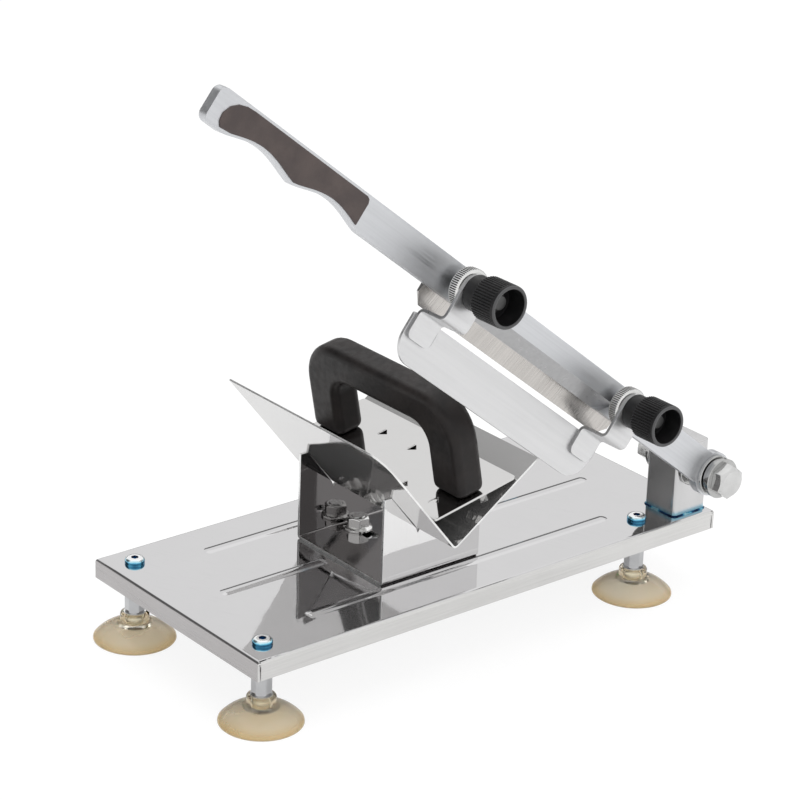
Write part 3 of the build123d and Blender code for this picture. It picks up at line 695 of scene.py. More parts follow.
weld_rows = list(range(len(weld_profile)))
weld = outwards(pulled_grid("weld_shown", lap_lines, weld_rows, weld_place))
eased(weld, 0, angle=50)
heat_tint, heat_shader, heat_place = finish("heat_tint", (0.2, 0.3, 0.4), 0.24)
heat = noise(heat_place, 160, 3).step(0.3, 0.7)
heat_stops = [(0.0, (0.008, 0.015, 0.045)), (0.5, (0.012, 0.05, 0.13))]
heat_stops += [(0.75, (0.06, 0.28, 0.42)), (0.95, (0.25, 0.45, 0.52))]
feed(heat_shader, Base_Color=heat.node("ValToRGB", {"stops": heat_stops}, {0: heat}))
feed(heat_shader, Roughness=noise(heat_place, 700, 2).step(0.3, 0.7, 0.15, 0.35))
coat(weld, heat_tint)
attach(weld, "frame")
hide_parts("post_weld")

# Pivot bolt: a hex bolt with turned-off corners, seen from the front with its washers. It goes
# through arm and post to a nut behind, and its thread ends a little past that nut.
pivot_low, pivot_high = (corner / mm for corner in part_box("pivot_washer_inner"))
pivot_x, pivot_z = (pivot_low.x + pivot_high.x) / 2, (pivot_low.z + pivot_high.z) / 2
arm_angle = 38.4
c, s = cos(radians(arm_angle)), sin(radians(arm_angle))
arm_turn = Matrix(((-c, s, 0, pivot_x * mm), (0, 0, 1, 0), (s, c, 0, pivot_z * mm), (0, 0, 0, 1)))


def threaded(name, radius, pitch, low, high):
    """A screwed rod from low to high along Z, wound by a Screw modifier and cut square."""
    root = radius - pitch * 0.6
    ridge = [(root, 0), (radius, pitch * 0.42), (radius, pitch * 0.58), (root, pitch)]
    piece = outlined(name, [(out, 0, low - pitch + height) for out, height in ridge])
    drop(piece, "EDGE", lambda edge: set(edge.vertices) == {0, 3})
    turns = int((high - low) / pitch) + 3
    finished(
        piece, "SCREW", angle=2 * pi, screw_offset=pitch * mm, iterations=turns, steps=24,
        render_steps=24, axis="Z", use_merge_vertices=True, merge_threshold=0.001 * mm,
    )
    outwards(piece)
    for height, away in ((low, (0, 0, -1)), (high, (0, 0, 1))):
        alone(piece)
        bpy.ops.object.mode_set(mode="EDIT")
        bpy.ops.mesh.select_all(action="SELECT")
        bpy.ops.mesh.bisect(
            plane_co=(0, 0, height * mm), plane_no=away, use_fill=True, clear_outer=True
        )
        bpy.ops.object.mode_set(mode="OBJECT")
    return outwards(piece)


def hex_head(name, across, low, high, slope, both=False, face=0.96):
    """A hex head or nut whose corners are turned off at its outer face, or at both."""
    side, corner = across / 2, across / sqrt(3) + 0.1
    fall = (corner - side * face) * slope
    profile = [(0, low)]
    profile += [(side * face, low), (corner, low + fall)] if both else [(corner, low)]
    profile += [(corner, high - fall), (side * face, high), (0, high)]
    return cut(turned(name, profile), blank("bar", hexagon(across), low - 1, high + 1), "INTERSECT")


pivot_flats, pivot_radius, pivot_pitch = 18, 6, 1.5
tail_end, shank_end, head_low, head_high = 8, 12, 74.5, 82.5
shank_profile = [(0, shank_end), (pivot_radius, shank_end)]
shank_profile += [(pivot_radius, head_low + 0.3), (0, head_low + 0.3)]
bolt = hex_head("bolt_head", pivot_flats, head_low, head_high, 0.8, face=0.86)
shank = turned("shank", shank_profile, 32)
tail = threaded("tail", pivot_radius, pivot_pitch, tail_end, shank_end + 0.5)
pivot_bolt = joined("pivot_bolt_shown", [eased(bolt, 0.3), eased(shank, 0), eased(tail, 0)])
# The turned pieces stand along Z; this lays them down to face the front, heights from y = 0.
front = Matrix(((-c, -s, 0, pivot_x * mm), (0, 0, -1, 0), (s, -c, 0, pivot_z * mm), (0, 0, 0, 1)))
placed(pivot_bolt, front)
coat(pivot_bolt, zinc_plate("bolt_zinc", (0.67, 0.67, 0.665), 0.13))
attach(pivot_bolt, "frame")
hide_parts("pivot_bolt")

# Washers and nuts on the pivot bolt: a flat washer, a split spring washer and another flat one
# before the arm, a spacer of two washers and a thin nut behind it, and the lock nut at the back.
ring_zinc = zinc_plate("ring_zinc", (0.5, 0.5, 0.495), 0.15)
washer_sheet, washer_outer, washer_hole, rim, bore = 2.5, 12.2, 6.05, 0.35, 0.25
for node, low in (
    ("pivot_washer_outer", 72),
    ("pivot_washer_inner", 66),
    ("spacer_washer_arm", 57.5),
    ("spacer_washer_post", 49.5),
    ("pivot_washer_back", 21),
):
    high = low + washer_sheet
    section = [(washer_hole + bore, low), (washer_outer - rim, low), (washer_outer, low + rim)]
    section += [(washer_outer, high - rim), (washer_outer - rim, high)]
    section += [(washer_hole + bore, high), (washer_hole, high - bore), (washer_hole, low + bore)]
    washer = eased(placed(turned(node + "_shown", section, 56), front), 0)
    coat(washer, ring_zinc)
    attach(washer, "frame")
    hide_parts(node)

coil_steps, coil_low, coil_climb = 60, 68.55, 0.7
coil_start, coil_gap = radians(100), radians(9)
coil_section = [(6.1, 0), (10.8, 0), (11, 0.2), (11, 2.5), (10.8, 2.7), (6.1, 2.7)]


def coil_place(column, row):
    """The spring washer's section, led once round the bolt and raised on its way."""
    turn = coil_start + (2 * pi - coil_gap) * column / coil_steps
    radius, height = coil_section[row % len(coil_section)]
    height += coil_low + coil_climb * column / coil_steps
    return radius * cos(turn), radius * sin(turn), height


coil_rows = list(range(len(coil_section) + 1))
coil = alone(pulled_grid("coil", list(range(coil_steps + 1)), coil_rows, coil_place))
bpy.ops.object.mode_set(mode="EDIT")
bpy.ops.mesh.select_all(action="SELECT")
bpy.ops.mesh.remove_doubles(threshold=0.002 * mm)
bpy.ops.mesh.select_all(action="DESELECT")
bpy.ops.mesh.select_non_manifold()
bpy.ops.mesh.edge_face_add()
bpy.ops.object.mode_set(mode="OBJECT")
spring_washer = eased(placed(outwards(coil), front), 0)
spring_washer.name = spring_washer.data.name = "spring_washer_shown"
coat(spring_washer, zinc_plate("spring_steel", (0.4, 0.4, 0.4), 0.22))
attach(spring_washer, "frame")
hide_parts("pivot_spring_washer")

thread_hole = 5.95
for node, low, high in (("spacer_nut", 52, 57.5), ("pivot_nut", 11, 21)):
    nut = hex_head(node + "_shown", pivot_flats, low, high, 0.5, both=True)
    hole = [(0, low - 1), (thread_hole, low - 1), (thread_hole, high + 1), (0, high + 1)]
    cut(nut, turned("hole", hole, 32))
    coat(eased(placed(nut, front), 0.25), bright_zinc)
    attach(nut, "frame")
    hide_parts(node)

# Trough: a polished sheet bent to an open V, with a large rounded corner where the blade side
# rises at the left, and cut edges painted bright as a highlight. It lies in the notches of its
# bracket.
trough_low, trough_high = (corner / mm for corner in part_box("trough"))
valley_x, valley_z = -11.355, 78.1
left_slope, right_slope, trough_bend, trough_sheet = radians(51), radians(34.3), 2.0, 1.2
left_way, right_way = (-cos(left_slope), sin(left_slope)), (cos(right_slope), sin(right_slope))
bend_sweep = pi - left_slope - right_slope
bend_middle = Vector((valley_x, valley_z)) + (
    Vector(left_way) + Vector(right_way)
).normalized() * (trough_bend / sin(bend_sweep / 2))
left_width, right_width, corner_radius = 85.5, 71, 13
corner_turn = {
    left_width - corner_radius * (1 - cos(radians(turn))): turn for turn in range(0, 91, 9)
}
v_line = [("left", run) for run in corner_turn] + [("left", 50), ("left", 25)]
v_line += [("bend", share / 8) for share in range(9)]
v_line += [("right", 25), ("right", 50), ("right", right_width)]


def trough_place(column, row):
    """A point of the trough's inner face: along the V, and from the front edge to the back."""
    side, run = column
    back = 0
    if side == "bend":
        start, end = -pi / 2 - left_slope, -pi / 2 + right_slope
        turn = start + (end - start) * run
        x = bend_middle.x + trough_bend * cos(turn)
        z = bend_middle.y + trough_bend * sin(turn)
    else:
        way = left_way if side == "left" else right_way
        x, z = valley_x + way[0] * run, valley_z + way[1] * run
        if side == "left" and run in corner_turn:
            back = corner_radius * (1 - sin(radians(corner_turn[run])))
    return x, trough_low.y + back + (trough_high.y - trough_low.y - back) * row, z


def walled(piece, thickness, far, way):
    """Gives a bent sheet its thickness, on the side away from the face that reaches far most.

    That face has to look up where way is 1, and down where it is -1.
    """
    outwards(piece)
    if way * max(piece.data.polygons, key=far).normal.z < 0:
        piece.data.flip_normals()
    return outwards(finished(piece, "SOLIDIFY", thickness=thickness * mm, offset=-1))


def trough_edge(face):
    """Whether a face is one of the trough's cut edges, which are painted bright as a highlight."""
    way = left_way if face.center.x < valley_x * mm else right_way
    along = face.normal.x * way[0] + face.normal.z * way[1]
    return abs(face.normal.y) > 0.5 or (along > 0.6 and face.center.z > (valley_z + 20) * mm)


trough = pulled_grid("trough_shown", v_line, [0, 0.15, 0.5, 0.85, 1], trough_place)
eased(walled(trough, trough_sheet, lambda face: face.center.z, 1), 0.25)
mirror_trough = mirror_steel("mirror_trough", (0.66, 0.655, 0.65), 0.0004, 0.85)
# Cut edges get a paler, rougher finish than the sheet: a painted highlight.
cut_edge_painted_highlight = zinc_plate("cut_edge_painted_highlight", (0.88, 0.88, 0.875), 0.3)
coat(trough, mirror_trough, cut_edge_painted_highlight, pick=trough_edge)
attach(trough, "cradle")
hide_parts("trough")

# Saddle bracket: a strip of polished sheet folded to a U. Its two walls are notched to the
# trough's underside, which is tacked to them at the valley. A slot in its floor lets it slide.
# The walls are painted bright outside as a reflection and dark inside and on the floor as shade,
# and their cut edges are painted brighter still as a highlight.
bracket_low, bracket_high = (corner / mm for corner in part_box("trough_bracket"))
bracket_sheet, bracket_bend, flat_run = 1.8, 2.5, 5
spread = 1 + cos(left_slope + right_slope)
notch_x = valley_x + trough_sheet * (sin(right_slope) - sin(left_slope)) / spread
notch_z = valley_z - trough_sheet * (cos(left_slope) + cos(right_slope)) / spread
flat_x_end = bracket_low.x + flat_run
relief_half, relief_depth = 2, 1.8
bracket_columns = [bracket_low.x, flat_x_end]
bracket_columns += [notch_x + 0.8 * step for step in range(-2, 3)] + [bracket_high.x]


def notch_height(x):
    """The height of a bracket wall's top edge, with a small round relief in the valley."""
    flat = notch_z + (notch_x - flat_x_end) * tan(left_slope)
    if x <= flat_x_end:
        return flat
    if x < notch_x:
        height = notch_z + (notch_x - x) * tan(left_slope)
    else:
        height = notch_z + (x - notch_x) * tan(right_slope)
    beside = abs(x - notch_x) / relief_half
    return height - (1 - beside) * relief_depth if beside < 1 else height


wall_y = (bracket_high.y - bracket_low.y) / 2
u_path = [("top", -1), ("low", -1)]
u_path += [("bend", -1, step / 4) for step in range(1, 5)] + [("floor", 0)]
u_path += [("bend", 1, 1 - step / 4) for step in range(0, 4)] + [("low", 1), ("top", 1)]
bracket_y = (bracket_low.y + bracket_high.y) / 2


def bracket_place(column, row):
    """A point of the U's outer face: along the tray, and round from wall to wall."""
    kind, side = row[0], row[1]
    if kind == "top":
        y, z = side * wall_y, notch_height(column)
    elif kind == "low":
        y, z = side * wall_y, tray_top + bracket_bend
    elif kind == "floor":
        y, z = 0, tray_top
    else:
        turn = row[2] * pi / 2
        y = side * (wall_y - bracket_bend * (1 - cos(turn)))
        z = tray_top + bracket_bend * (1 - sin(turn))
    return column, bracket_y + y, z


def bracket_finish(face):
    """0 inside and on the floor, painted dark as shade; 1 on cut edges, painted bright as a
    highlight; 2 on the walls' outer faces, painted bright as a reflection.
    """
    on_top = face.normal.z > 0.4 and face.center.z > (tray_top + 10) * mm
    if abs(face.normal.x) > 0.5 or on_top:
        return 1
    outside = abs(face.center.y / mm - bracket_y) > wall_y - 0.4
    return 2 if outside and abs(face.normal.y) > 0.8 else 0


bracket = pulled_grid("bracket_shown", bracket_columns, u_path, bracket_place)
walled(bracket, bracket_sheet, lambda face: -face.center.z, -1)
clamp_x, clamp_y, slot_middle, slot_half, slot_reach = -1.455, 44.5, 38.5, 4.2, 11
slot_corners = [(x * slot_half, y * slot_reach, slot_half - 0.01) for x, y in corners]
slot = blank("slot", rounded(slot_corners, 10), 46, 51)
cut(bracket, placed(slot, at(clamp_x, slot_middle, 0)))
# Painted shade inside and on the floor, painted reflection on the outer wall faces: a shaded and a
# lit copy of one polished steel.
bracket_painted_shade = mirror_steel("bracket_painted_shade", (0.35, 0.34, 0.34), 0.0004)
bracket_painted_light = mirror_steel("bracket_outside_painted_light", (0.82, 0.815, 0.815), 0.0004)
coat(eased(bracket, 0.3), bracket_painted_shade, cut_edge_painted_highlight, bracket_painted_light, pick=bracket_finish)
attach(bracket, "cradle")
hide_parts("trough_bracket")

# Bracket bolt and its nut: the bolt comes from under the tray through the slot, and a hex nut with
# a wide flange clamps the bracket down.
clamp_flats, clamp_hole, thread_radius, thread_pitch = 12, 4.05, 4, 1.25
bracket_rod = threaded("bracket_rod", thread_radius, thread_pitch, 45, 58)
bracket_head = hex_head("bracket_head", clamp_flats, 40.7, 46, 0.5)
bracket_bolt = joined("bracket_bolt_shown", [eased(bracket_rod, 0), eased(bracket_head, 0.2)])
flange_profile = [(clamp_hole, 49.3), (8.3, 49.3), (8.5, 49.5), (8.5, 50.4), (8.2, 50.7)]
flange = turned("flange", flange_profile + [(5.8, 52), (clamp_hole, 52)])
nut_body = hex_head("nut_body", clamp_flats, 50, 57.3, 0.6, face=0.9)
cut(nut_body, turned("hole", [(0, 49), (clamp_hole, 49), (clamp_hole, 58), (0, 58)], 32))
bracket_nut = joined("bracket_nut_shown", [eased(flange, 0), eased(nut_body, 0.2)])
for piece, node in ((bracket_bolt, "bracket_bolt"), (bracket_nut, "bracket_nut")):
    coat(placed(piece, at(clamp_x, clamp_y, 0)), bright_zinc)
    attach(piece, "frame")
    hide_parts(node)

# Arm: a flat steel bar with a round eye at the pivot. Its lower front edge is milled to a slope
# over the blade, and finger grooves are cut in under the grip.
bar_half, bar_end, bar_corner, eye_radius, eye_foot = 10, 466, 4.5, 13.5, 9.07
bar_front, bar_back = -66, -60
grooves_start, groove_pitch, groove_depth, groove_curve = 340, 56, 5.3, 1.25
slope_start, slope_end = 115, 246


def lower_edge(along):
    """How far the bar's lower edge lies from its middle line, with the finger grooves."""
    if not grooves_start < along < grooves_start + 2 * groove_pitch:
        return -bar_half
    wave = abs(sin(pi * (along - grooves_start) / groove_pitch))
    return -bar_half + groove_depth * wave ** groove_curve


def on_slope(face):
    """Whether a face is the wide milled one, which looks forward and down across the bar."""
    across = face.normal.dot(Vector((s, 0, c)))
    return face.normal.y < -0.3 and across < -0.4 and face.area > 1e-5


bar_outline = [(eye_foot, bar_half)]
for turn in range(48, 313, 8):
    bar_outline.append((eye_radius * cos(radians(turn)), eye_radius * sin(radians(turn))))
bar_outline.append((eye_foot, -bar_half))
for step in range(41):
    along = grooves_start + step * groove_pitch / 20
    bar_outline.append((along, lower_edge(along)))
bar_tip = [(452, -bar_half, 0), (bar_end, -bar_half, bar_corner), (bar_end, bar_half, bar_corner)]
bar_outline += rounded(bar_tip + [(400, bar_half, 0)])[1:-1]
arm = blank("arm_shown", bar_outline, bar_front, bar_back)
slope_outline = [(66, -2), (60, -10), (59, -15), (71, -15), (71, -2)]
slope = blank("slope", slope_outline, slope_start, slope_end)
slope_turn = Matrix(((0, 0, 1, 0), (0, 1, 0, 0), (-1, 0, 0, 0), (0, 0, 0, 1)))
placed(slope, slope_turn)
# The milling cutter leaves the slope's end near the pivot slanted.
for vertex in slope.data.vertices:
    if vertex.co.x < (slope_start + 5) * mm:
        vertex.co.x -= (vertex.co.y + bar_half * mm) * 1.1
cut(arm, slope)
arm_turned = (0, arm_angle, 0)
arm_steel = brushed_steel(
    "arm_steel", (0.67, 0.68, 0.7), 0.42, (9, 700, 700), arm_turned, 0.97, 0.000005
)
slope_steel = brushed_steel(
    "slope_steel", (0.46, 0.46, 0.465), 0.34, (500, 20, 500), arm_turned, 0.95, 0.000005
)
coat(eased(placed(arm, arm_turn), 0.35), arm_steel, slope_steel, pick=on_slope)
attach(arm, "arm")
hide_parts("arm_bar")

# Handle scales: two dark brown plastic inlays on the grip's faces, set in a little from the
# bar's edge, with an arched end towards the tip.
scale_start, scale_inset = 346, 1.4
scale_edge = []
for step in range(39):
    along = scale_start + step * 2.65
    scale_edge.append((along, lower_edge(along) + scale_inset))
scale_edge += [(455, -8.2), (457.2, -5.6), (457.8, -1.5), (455.6, 3.2), (451.5, 6.5), (446, 8.2)]
scale_edge += [(440, 8.6), (349, 8.6), (347, 7.8), (346, 5.6)]


def moulded(name, tone, rough, tones, grains, gloss, depth, **levels):
    """Moulded plastic: clouds of two tones, uneven gloss and a fine texture, each at its grain."""
    made, shader, place = finish(name, tone, rough, 0.0, **levels)
    cloud_grain, gloss_grain, texture_grain = grains
    feed(shader, Base_Color=noise(place, cloud_grain, 3).step(0.3, 0.7).blend(*tones))
    feed(shader, Roughness=noise(place, gloss_grain, 3).step(0.3, 0.7, *gloss))
    feed(shader, Normal=relief(noise(place, texture_grain, 2), depth))
    return made


grip_plastic = moulded(
    "grip_plastic", (0.055, 0.04, 0.038), 0.38, ((0.05, 0.036, 0.034), (0.075, 0.055, 0.05)),
    grains=(60, 300, 900), gloss=(0.3, 0.46), depth=0.00004,
)
for name, node, low, high in (
    ("scale_front_shown", "handle_scale_front", bar_front - 0.8, bar_front + 1),
    ("scale_back_shown", "handle_scale_back", bar_back - 1, bar_back + 0.8),
):
    scale = eased(placed(blank(name, scale_edge, low, high), arm_turn), 0.5, 3)
    coat(scale, grip_plastic)
    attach(scale, "arm")
    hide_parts(node)

# Blade: a flat steel strip behind the arm, ground from the front to a thin edge. The grinding
# leaves fine lines across its bevel.
blade_start, blade_end, blade_top, blade_low = 93.5, 277, 7, -20.5
blade_corner, blade_sheet = 6, 2.5
blade_outline = [(blade_start + blade_corner, blade_low), (blade_end - blade_corner, blade_low)]
blade_outline += [(blade_end, blade_low + blade_corner), (blade_end, blade_top)]
blade_outline += [(blade_start, blade_top), (blade_start, blade_low + blade_corner)]
blade = blank("blade_shown", blade_outline, bar_back, bar_back + blade_sheet)
grind_outline = [(60, -10), (57.7, blade_low), (57.7, -25), (65, -25), (65, -10)]
cut(blade, placed(blank("grind", grind_outline, blade_start - 5.5, blade_end + 5), slope_turn))


def on_bevel(face):
    """Whether a face is the ground bevel, which looks forward and a little down."""
    return face.normal.y < -0.3 and face.normal.dot(Vector((s, 0, c))) < -0.1


ground_steel = brushed_steel("ground_steel", (0.6, 0.575, 0.55), 0.24, (1500, 40, 25), arm_turned)
blade_steel = brushed_steel("blade_steel", (0.62, 0.61, 0.6), 0.22, (20, 600, 600), arm_turned)
coat(eased(placed(blade, arm_turn), 0.08), blade_steel, ground_steel, pick=on_bevel)
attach(blade, "arm")
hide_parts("blade")

# Studs: threaded rods with countersunk heads. They hold the blade to the arm and carry the
# guide's nuts and knobs in front of it.
stud_runs = {"left": 261, "right": 105}
head_back, head_rim, blade_face, stud_end = 57.5, 57.7, 59.7, 100
stud_steel = zinc_plate("stud_steel", (0.12, 0.12, 0.12), 0.34)
for side, run in stud_runs.items():
    rod_profile = [(0, 59), (thread_radius, 59), (thread_radius, 66.4), (0, 66.4)]
    head_profile = [(0, head_back), (5.8, head_back), (6, head_rim), (thread_radius, blade_face)]
    rod = turned("rod", rod_profile, 32)
    head = turned("head", head_profile + [(0, blade_face)], 40)
    thread = threaded("thread", thread_radius, thread_pitch, 66, stud_end)
    stud = joined("stud_%s_shown" % side, [eased(rod, 0), eased(head, 0), eased(thread, 0)])
    coat(placed(stud, front @ at(run, 0, 0)), stud_steel)
    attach(stud, "arm")
    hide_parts("stud_" + side)

# Adjusting nuts: round, bright, with a coarse straight knurl whose grooves are painted dark as
# shade. They set how far the guide stands from the blade.
def fluted(piece, count, depth, low, high, radius):
    """Presses straight grooves into a turned piece's rim between two heights."""
    for vertex in piece.data.vertices:
        x, y, z = vertex.co / mm
        out = hypot(x, y)
        if low < z < high and out > radius:
            wave = abs(sin(atan2(y, x) * count / 2))
            share = 1 - depth * (1 - wave) ** 1.6 / out
            vertex.co.x *= share
            vertex.co.y *= share
    return piece


# Near-black zinc for the knurl's grooves: painted shade in the recesses.
groove_painted_shade = zinc_plate("groove_painted_shade", (0.09, 0.088, 0.084), 0.28)
knurl_count, knurl_depth, knurl_low, knurl_high, nut_radius = 60, 0.7, 72, 77, 12


def in_groove(face):
    """Whether a face of an upright nut lies in the knurl's grooves, which are painted dark as
    shade.
    """
    x, y, z = face.center / mm
    return knurl_low < z < knurl_high and nut_radius - 1 < hypot(x, y) < nut_radius - 0.3


for side, run in stud_runs.items():
    section = [(4.1, 70.5), (10.4, 70.5), (11.6, 71.6), (nut_radius, 72.2), (nut_radius, 76.8)]
    section += [(11.6, 77.4), (10.4, 78.5), (4.1, 78.5)]
    nut = turned("adjust_nut_%s_shown" % side, section, 4 * knurl_count)
    fluted(nut, knurl_count, knurl_depth, knurl_low, knurl_high, nut_radius - 0.2)
    coat(nut, bright_zinc, groove_painted_shade, pick=in_groove)
    eased(placed(nut, front @ at(run, 0, 0)), 0, angle=50)
    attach(nut, side + "_nut")
    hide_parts("adjust_nut_" + side)

# Lock knobs: black moulded heads with fine flutes and a deep hollow whose mouth is painted paler as
# a highlight, on a smooth neck. A metal insert carries the thread, and the stud's end shows in the
# hollow.
black_plastic = moulded(
    "black_plastic", (0.018, 0.018, 0.019), 0.36, ((0.006, 0.006, 0.0065), (0.013, 0.0125, 0.013)),
    grains=(80, 420, 1400), gloss=(0.3, 0.5), depth=0.00003, Specular_IOR_Level=0.25,
)
# Paler plastic on the hollow's mouth: a painted highlight.
mouth_painted_highlight = finish("mouth_painted_highlight", (0.062, 0.062, 0.064), 0.3, 0.0)[0]
flute_count, flute_depth, flutes_low, flutes_high = 48, 0.6, 89.9, 105.7
knob_foot, hollow_floor, knob_radius, mouth_low = 80.5, 96, 12.2, 107.7
knob_section = [(6.4, knob_foot), (9.6, knob_foot), (10, 80.9), (10, 89.3), (10.3, 89.8)]
knob_section += [(11.6, 90), (knob_radius, 90.5), (knob_radius, 105.4), (knob_radius, 106)]
knob_section += [(12.05, 107.4), (11.6, 108), (10.4, 108), (10, 107.6), (9.5, 96.2)]
knob_section += [(9.2, hollow_floor), (6.4, hollow_floor)]
insert_section = [(4.05, knob_foot), (6.3, knob_foot), (6.5, 80.7), (6.5, 95.6)]
insert_section += [(6.1, hollow_floor), (4.05, hollow_floor)]
for side, run in stud_runs.items():
    knob = turned("lock_knob_%s_shown" % side, knob_section, 6 * flute_count)
    fluted(knob, flute_count, flute_depth, flutes_low, flutes_high, knob_radius - 0.8)
    coat(knob, black_plastic, mouth_painted_highlight, pick=lambda face: face.center.z / mm > mouth_low)
    eased(placed(knob, front @ at(run, 0, 0)), 0, angle=45)
    insert = turned("knob_insert_%s_shown" % side, insert_section, 40)
    coat(eased(placed(insert, front @ at(run, 0, 0)), 0), bright_zinc)
    for piece, node, slot in (
        (knob, "lock_knob_" + side, "black_plastic"),
        (insert, "knob_insert_" + side, "bright_zinc"),
    ):
        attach(piece, side + "_knob")
        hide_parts(node)

# Guide plate: satin plated sheet below the blade's edge, with two large rounded corners. The
# meat stands against it, so its place sets the slice's thickness.
guide_start, guide_end, guide_top, guide_low, guide_corner = 94, 272, -24.2, -50.6, 14.5
guide_front, guide_sheet = -60, 2
guide_outline = [(guide_start, guide_top, 1), (guide_start, guide_low, guide_corner)]
guide_outline += [(guide_end, guide_low, guide_corner), (guide_end, guide_top, 1)]
guide_steel = brushed_steel(
    "guide_steel", (0.72, 0.72, 0.725), 0.4, (12, 420, 420), arm_turned, 0.985, 0.000003
)
guide_plate = blank(
    "guide_plate_shown", rounded(guide_outline, 10), guide_front, guide_front + guide_sheet
)
coat(eased(placed(guide_plate, arm_turn), 0.3), guide_steel)
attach(guide_plate, "guide")
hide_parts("guide_plate")

# Guide strips: cranked strips welded to the plate's front, bent out over the blade's edge and
# up to the studs, where their ends are round. Their cut rims are painted darker than their faces,
# as shade.
strip_half, strip_sheet, inner_bend, strip_lines = 9.75, 2.0, 2.0, 8
outer_bend = inner_bend + strip_sheet
tab_low, tab_corner, shelf, riser_low, strip_top = -38, 4, -20.5, -17, 9.6
plate_face, riser_face = 60, 78.5
crank = [("tab", 0), ("tab", 1)]
crank += [("low", step / 5) for step in range(6)]
crank += [("high", step / 5) for step in range(6)]
crank += [("riser", 0), ("riser", 1)]


def strip_place(column, row):
    """A point of the strip's inner face: across the strip, across the bar, and forward."""
    across = strip_half * sin(pi / 2 * column)
    kind, share = row
    turn = share * pi / 2
    if kind == "tab":
        past = max(abs(across) - strip_half + tab_corner, 0)
        corner = tab_corner - sqrt(max(tab_corner ** 2 - past ** 2, 0))
        return across, tab_low + corner if not share else shelf - outer_bend, plate_face
    if kind == "low":
        forward = plate_face + outer_bend * (1 - cos(turn))
        return across, shelf - outer_bend * (1 - sin(turn)), forward
    if kind == "high":
        forward = riser_face - inner_bend + inner_bend * sin(turn)
        return across, shelf + inner_bend * (1 - cos(turn)), forward
    end = strip_top - strip_half + strip_half * cos(pi / 2 * column)
    return across, end if share else riser_low, riser_face


def on_rim(face):
    """Whether a face is on a strip's long rims or its tab's end, which are painted dark as shade.
    """
    tab_end = face.normal.y < -0.6 and face.center.y / mm < tab_low + 5
    return abs(face.normal.x) > 0.5 or tab_end


# Darker zinc on the strips' rims: painted shade on the side faces.
strip_rim_painted_shade = zinc_plate("strip_rim_painted_shade", (0.4, 0.4, 0.405), 0.3)
strip_widths = [step / strip_lines for step in range(-strip_lines, strip_lines + 1)]
for side, run in stud_runs.items():
    strip = pulled_grid("guide_strip_%s_shown" % side, strip_widths, crank, strip_place)
    eased(walled(strip, strip_sheet, lambda face: face.center.y, -1), 0.3)
    coat(strip, guide_steel, strip_rim_painted_shade, pick=on_rim)
    placed(strip, arm_turn @ at(run, 0, 0) @ Matrix.Diagonal((1, 1, -1, 1)))
    strip.data.flip_normals()
    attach(strip, "guide")
    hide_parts("guide_strip_" + side)

# Pusher plate: polished sheet with two rows of teeth. Each tooth is a triangle cut free on two
# sides and bent down, which leaves a triangular hole.
tilt, plate_width, plate_half_length, plate_sheet = radians(11), 60, 69, 1.5
left_run = plate_width * sin(right_slope - tilt) / sin(left_slope + right_slope)
right_run = plate_width * sin(left_slope + tilt) / sin(left_slope + right_slope)
pusher_x = valley_x + (right_run * cos(right_slope) - left_run * cos(left_slope)) / 2
pusher_z = valley_z + (right_run * sin(right_slope) + left_run * sin(left_slope)) / 2
pusher_turn = at(pusher_x, trough_low.y + 70, pusher_z + 0.3 / cos(left_slope))
pusher_turn @= Matrix.Rotation(-tilt, 4, "Y")
pusher_outline = [(x * plate_width / 2, y * plate_half_length, 2) for x, y in corners]
pusher_plate = blank("pusher_plate_shown", rounded(pusher_outline, 4), 0, plate_sheet)
tooth_rows, tooth_pitch, tooth_half, tooth_reach, prong_half = (0.22, 0.7), 27, 3.5, 5, 0.6
tooth_rise = tooth_half * tan(radians(50))
tooth_places = [
    ((share - 0.5) * plate_width, step * tooth_pitch)
    for share in tooth_rows for step in range(-2, 3)
]
holes, prongs = [], []
for x, y in tooth_places:
    base = y + tooth_rise / 2
    triangle = [(x - tooth_half, base), (x + tooth_half, base), (x, y - tooth_rise / 2)]
    holes.append(blank("hole", triangle, -2, 4))
    prong_outline = [(-3.4, plate_sheet), (0, -tooth_reach), (3.4, plate_sheet)]
    prong = blank("prong", prong_outline, -prong_half, prong_half)
    upended = at(x, base + 0.5, 0) @ Matrix.Rotation(pi / 2, 4, "X")
    prongs.append(eased(placed(prong, upended), 0.2))
cut(pusher_plate, joined("holes", holes))
eased(pusher_plate, 0.25)
pusher_plate = joined("pusher_plate_shown", [pusher_plate] + prongs)
placed(pusher_plate, pusher_turn)
pusher_plate.data.materials.clear()
coat(pusher_plate, mirror_steel("mirror_pusher", (0.66, 0.655, 0.65), 0.0004))
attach(pusher_plate, "pusher")
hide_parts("pusher_plate")

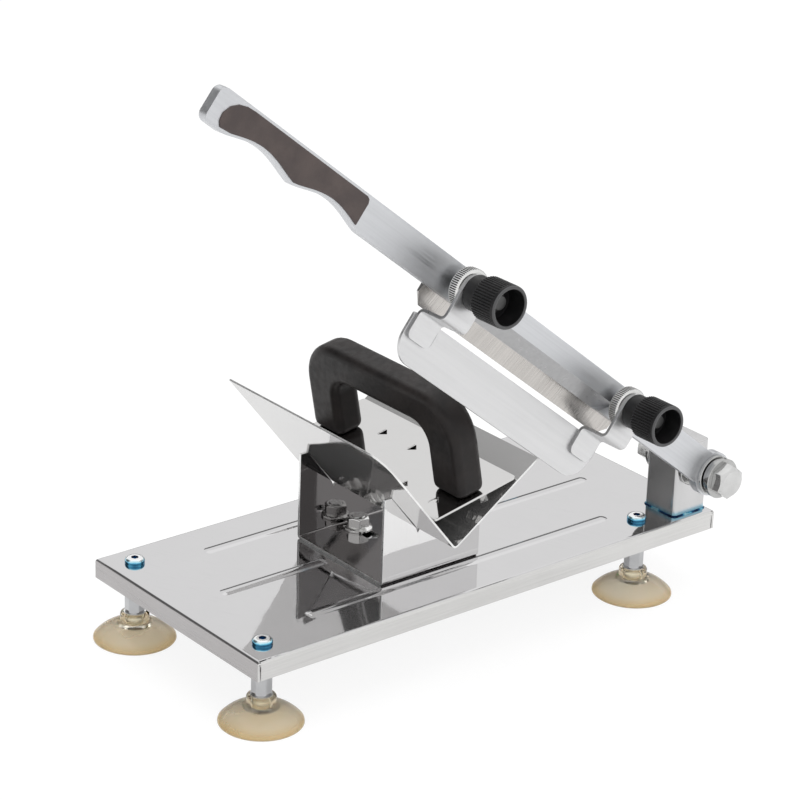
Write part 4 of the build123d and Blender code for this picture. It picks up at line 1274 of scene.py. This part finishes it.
# Pusher handle: a black moulded D with two feet. Metal studs moulded into the feet go through
# the plate, and nuts hold it from below.
handle_half, handle_high, outer_corner, gap_half, gap_high, gap_corner = 67.5, 60, 27, 41.5, 39, 12
handle_outline = [(-handle_half, 0, 0), (-handle_half, handle_high, outer_corner)]
handle_outline += [(handle_half, handle_high, outer_corner), (handle_half, 0, 0)]
handle_outline += [(gap_half, 0, 0), (gap_half, gap_high, gap_corner)]
handle_outline += [(-gap_half, gap_high, gap_corner), (-gap_half, 0, 0)]
handle = blank("pusher_handle_shown", rounded(handle_outline, 10), -9.5, 9.5)
handle_turn = Matrix(((0, 0, -1, 0), (-1, 0, 0, 0), (0, 1, 0, plate_sheet * mm), (0, 0, 0, 1)))
finished(
    handle, "BEVEL", width=5 * mm, segments=5, limit_method="ANGLE", angle_limit=radians(50),
    use_clamp_overlap=True,
)
handle_plastic = moulded(
    "handle_plastic", (0.03, 0.026, 0.025), 0.4, ((0.009, 0.0075, 0.0075), (0.02, 0.016, 0.015)),
    grains=(50, 260, 900), gloss=(0.32, 0.48), depth=0.00005, Specular_IOR_Level=0.25,
)
coat(eased(placed(handle, pusher_turn @ handle_turn), 0, angle=40), handle_plastic)
foot_run, pusher_thread, pusher_pitch, pusher_flats = 54.5, 2.5, 0.8, 8
studs, nuts = [], []
for y in (-foot_run, foot_run):
    stud = threaded("pusher_thread", pusher_thread, pusher_pitch, -5.2, 6)
    studs.append(placed(stud, at(0, y, 0)))
    nut = hex_head("pusher_nut", pusher_flats, -4, 0, 0.5, both=True)
    nuts.append(placed(nut, at(0, y, 0)))
pusher_studs = placed(eased(joined("pusher_studs_shown", studs), 0), pusher_turn)
pusher_nuts = placed(eased(joined("pusher_nuts_shown", nuts), 0.15), pusher_turn)
coat(pusher_studs, bright_zinc)
coat(pusher_nuts, bright_zinc)
for piece, node, slot in (
    (handle, "pusher_handle", "black_plastic"),
    (pusher_studs, "pusher_studs", "bright_zinc"),
    (pusher_nuts, "pusher_nuts", "bright_zinc"),
):
    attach(piece, "pusher")
    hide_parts(node)
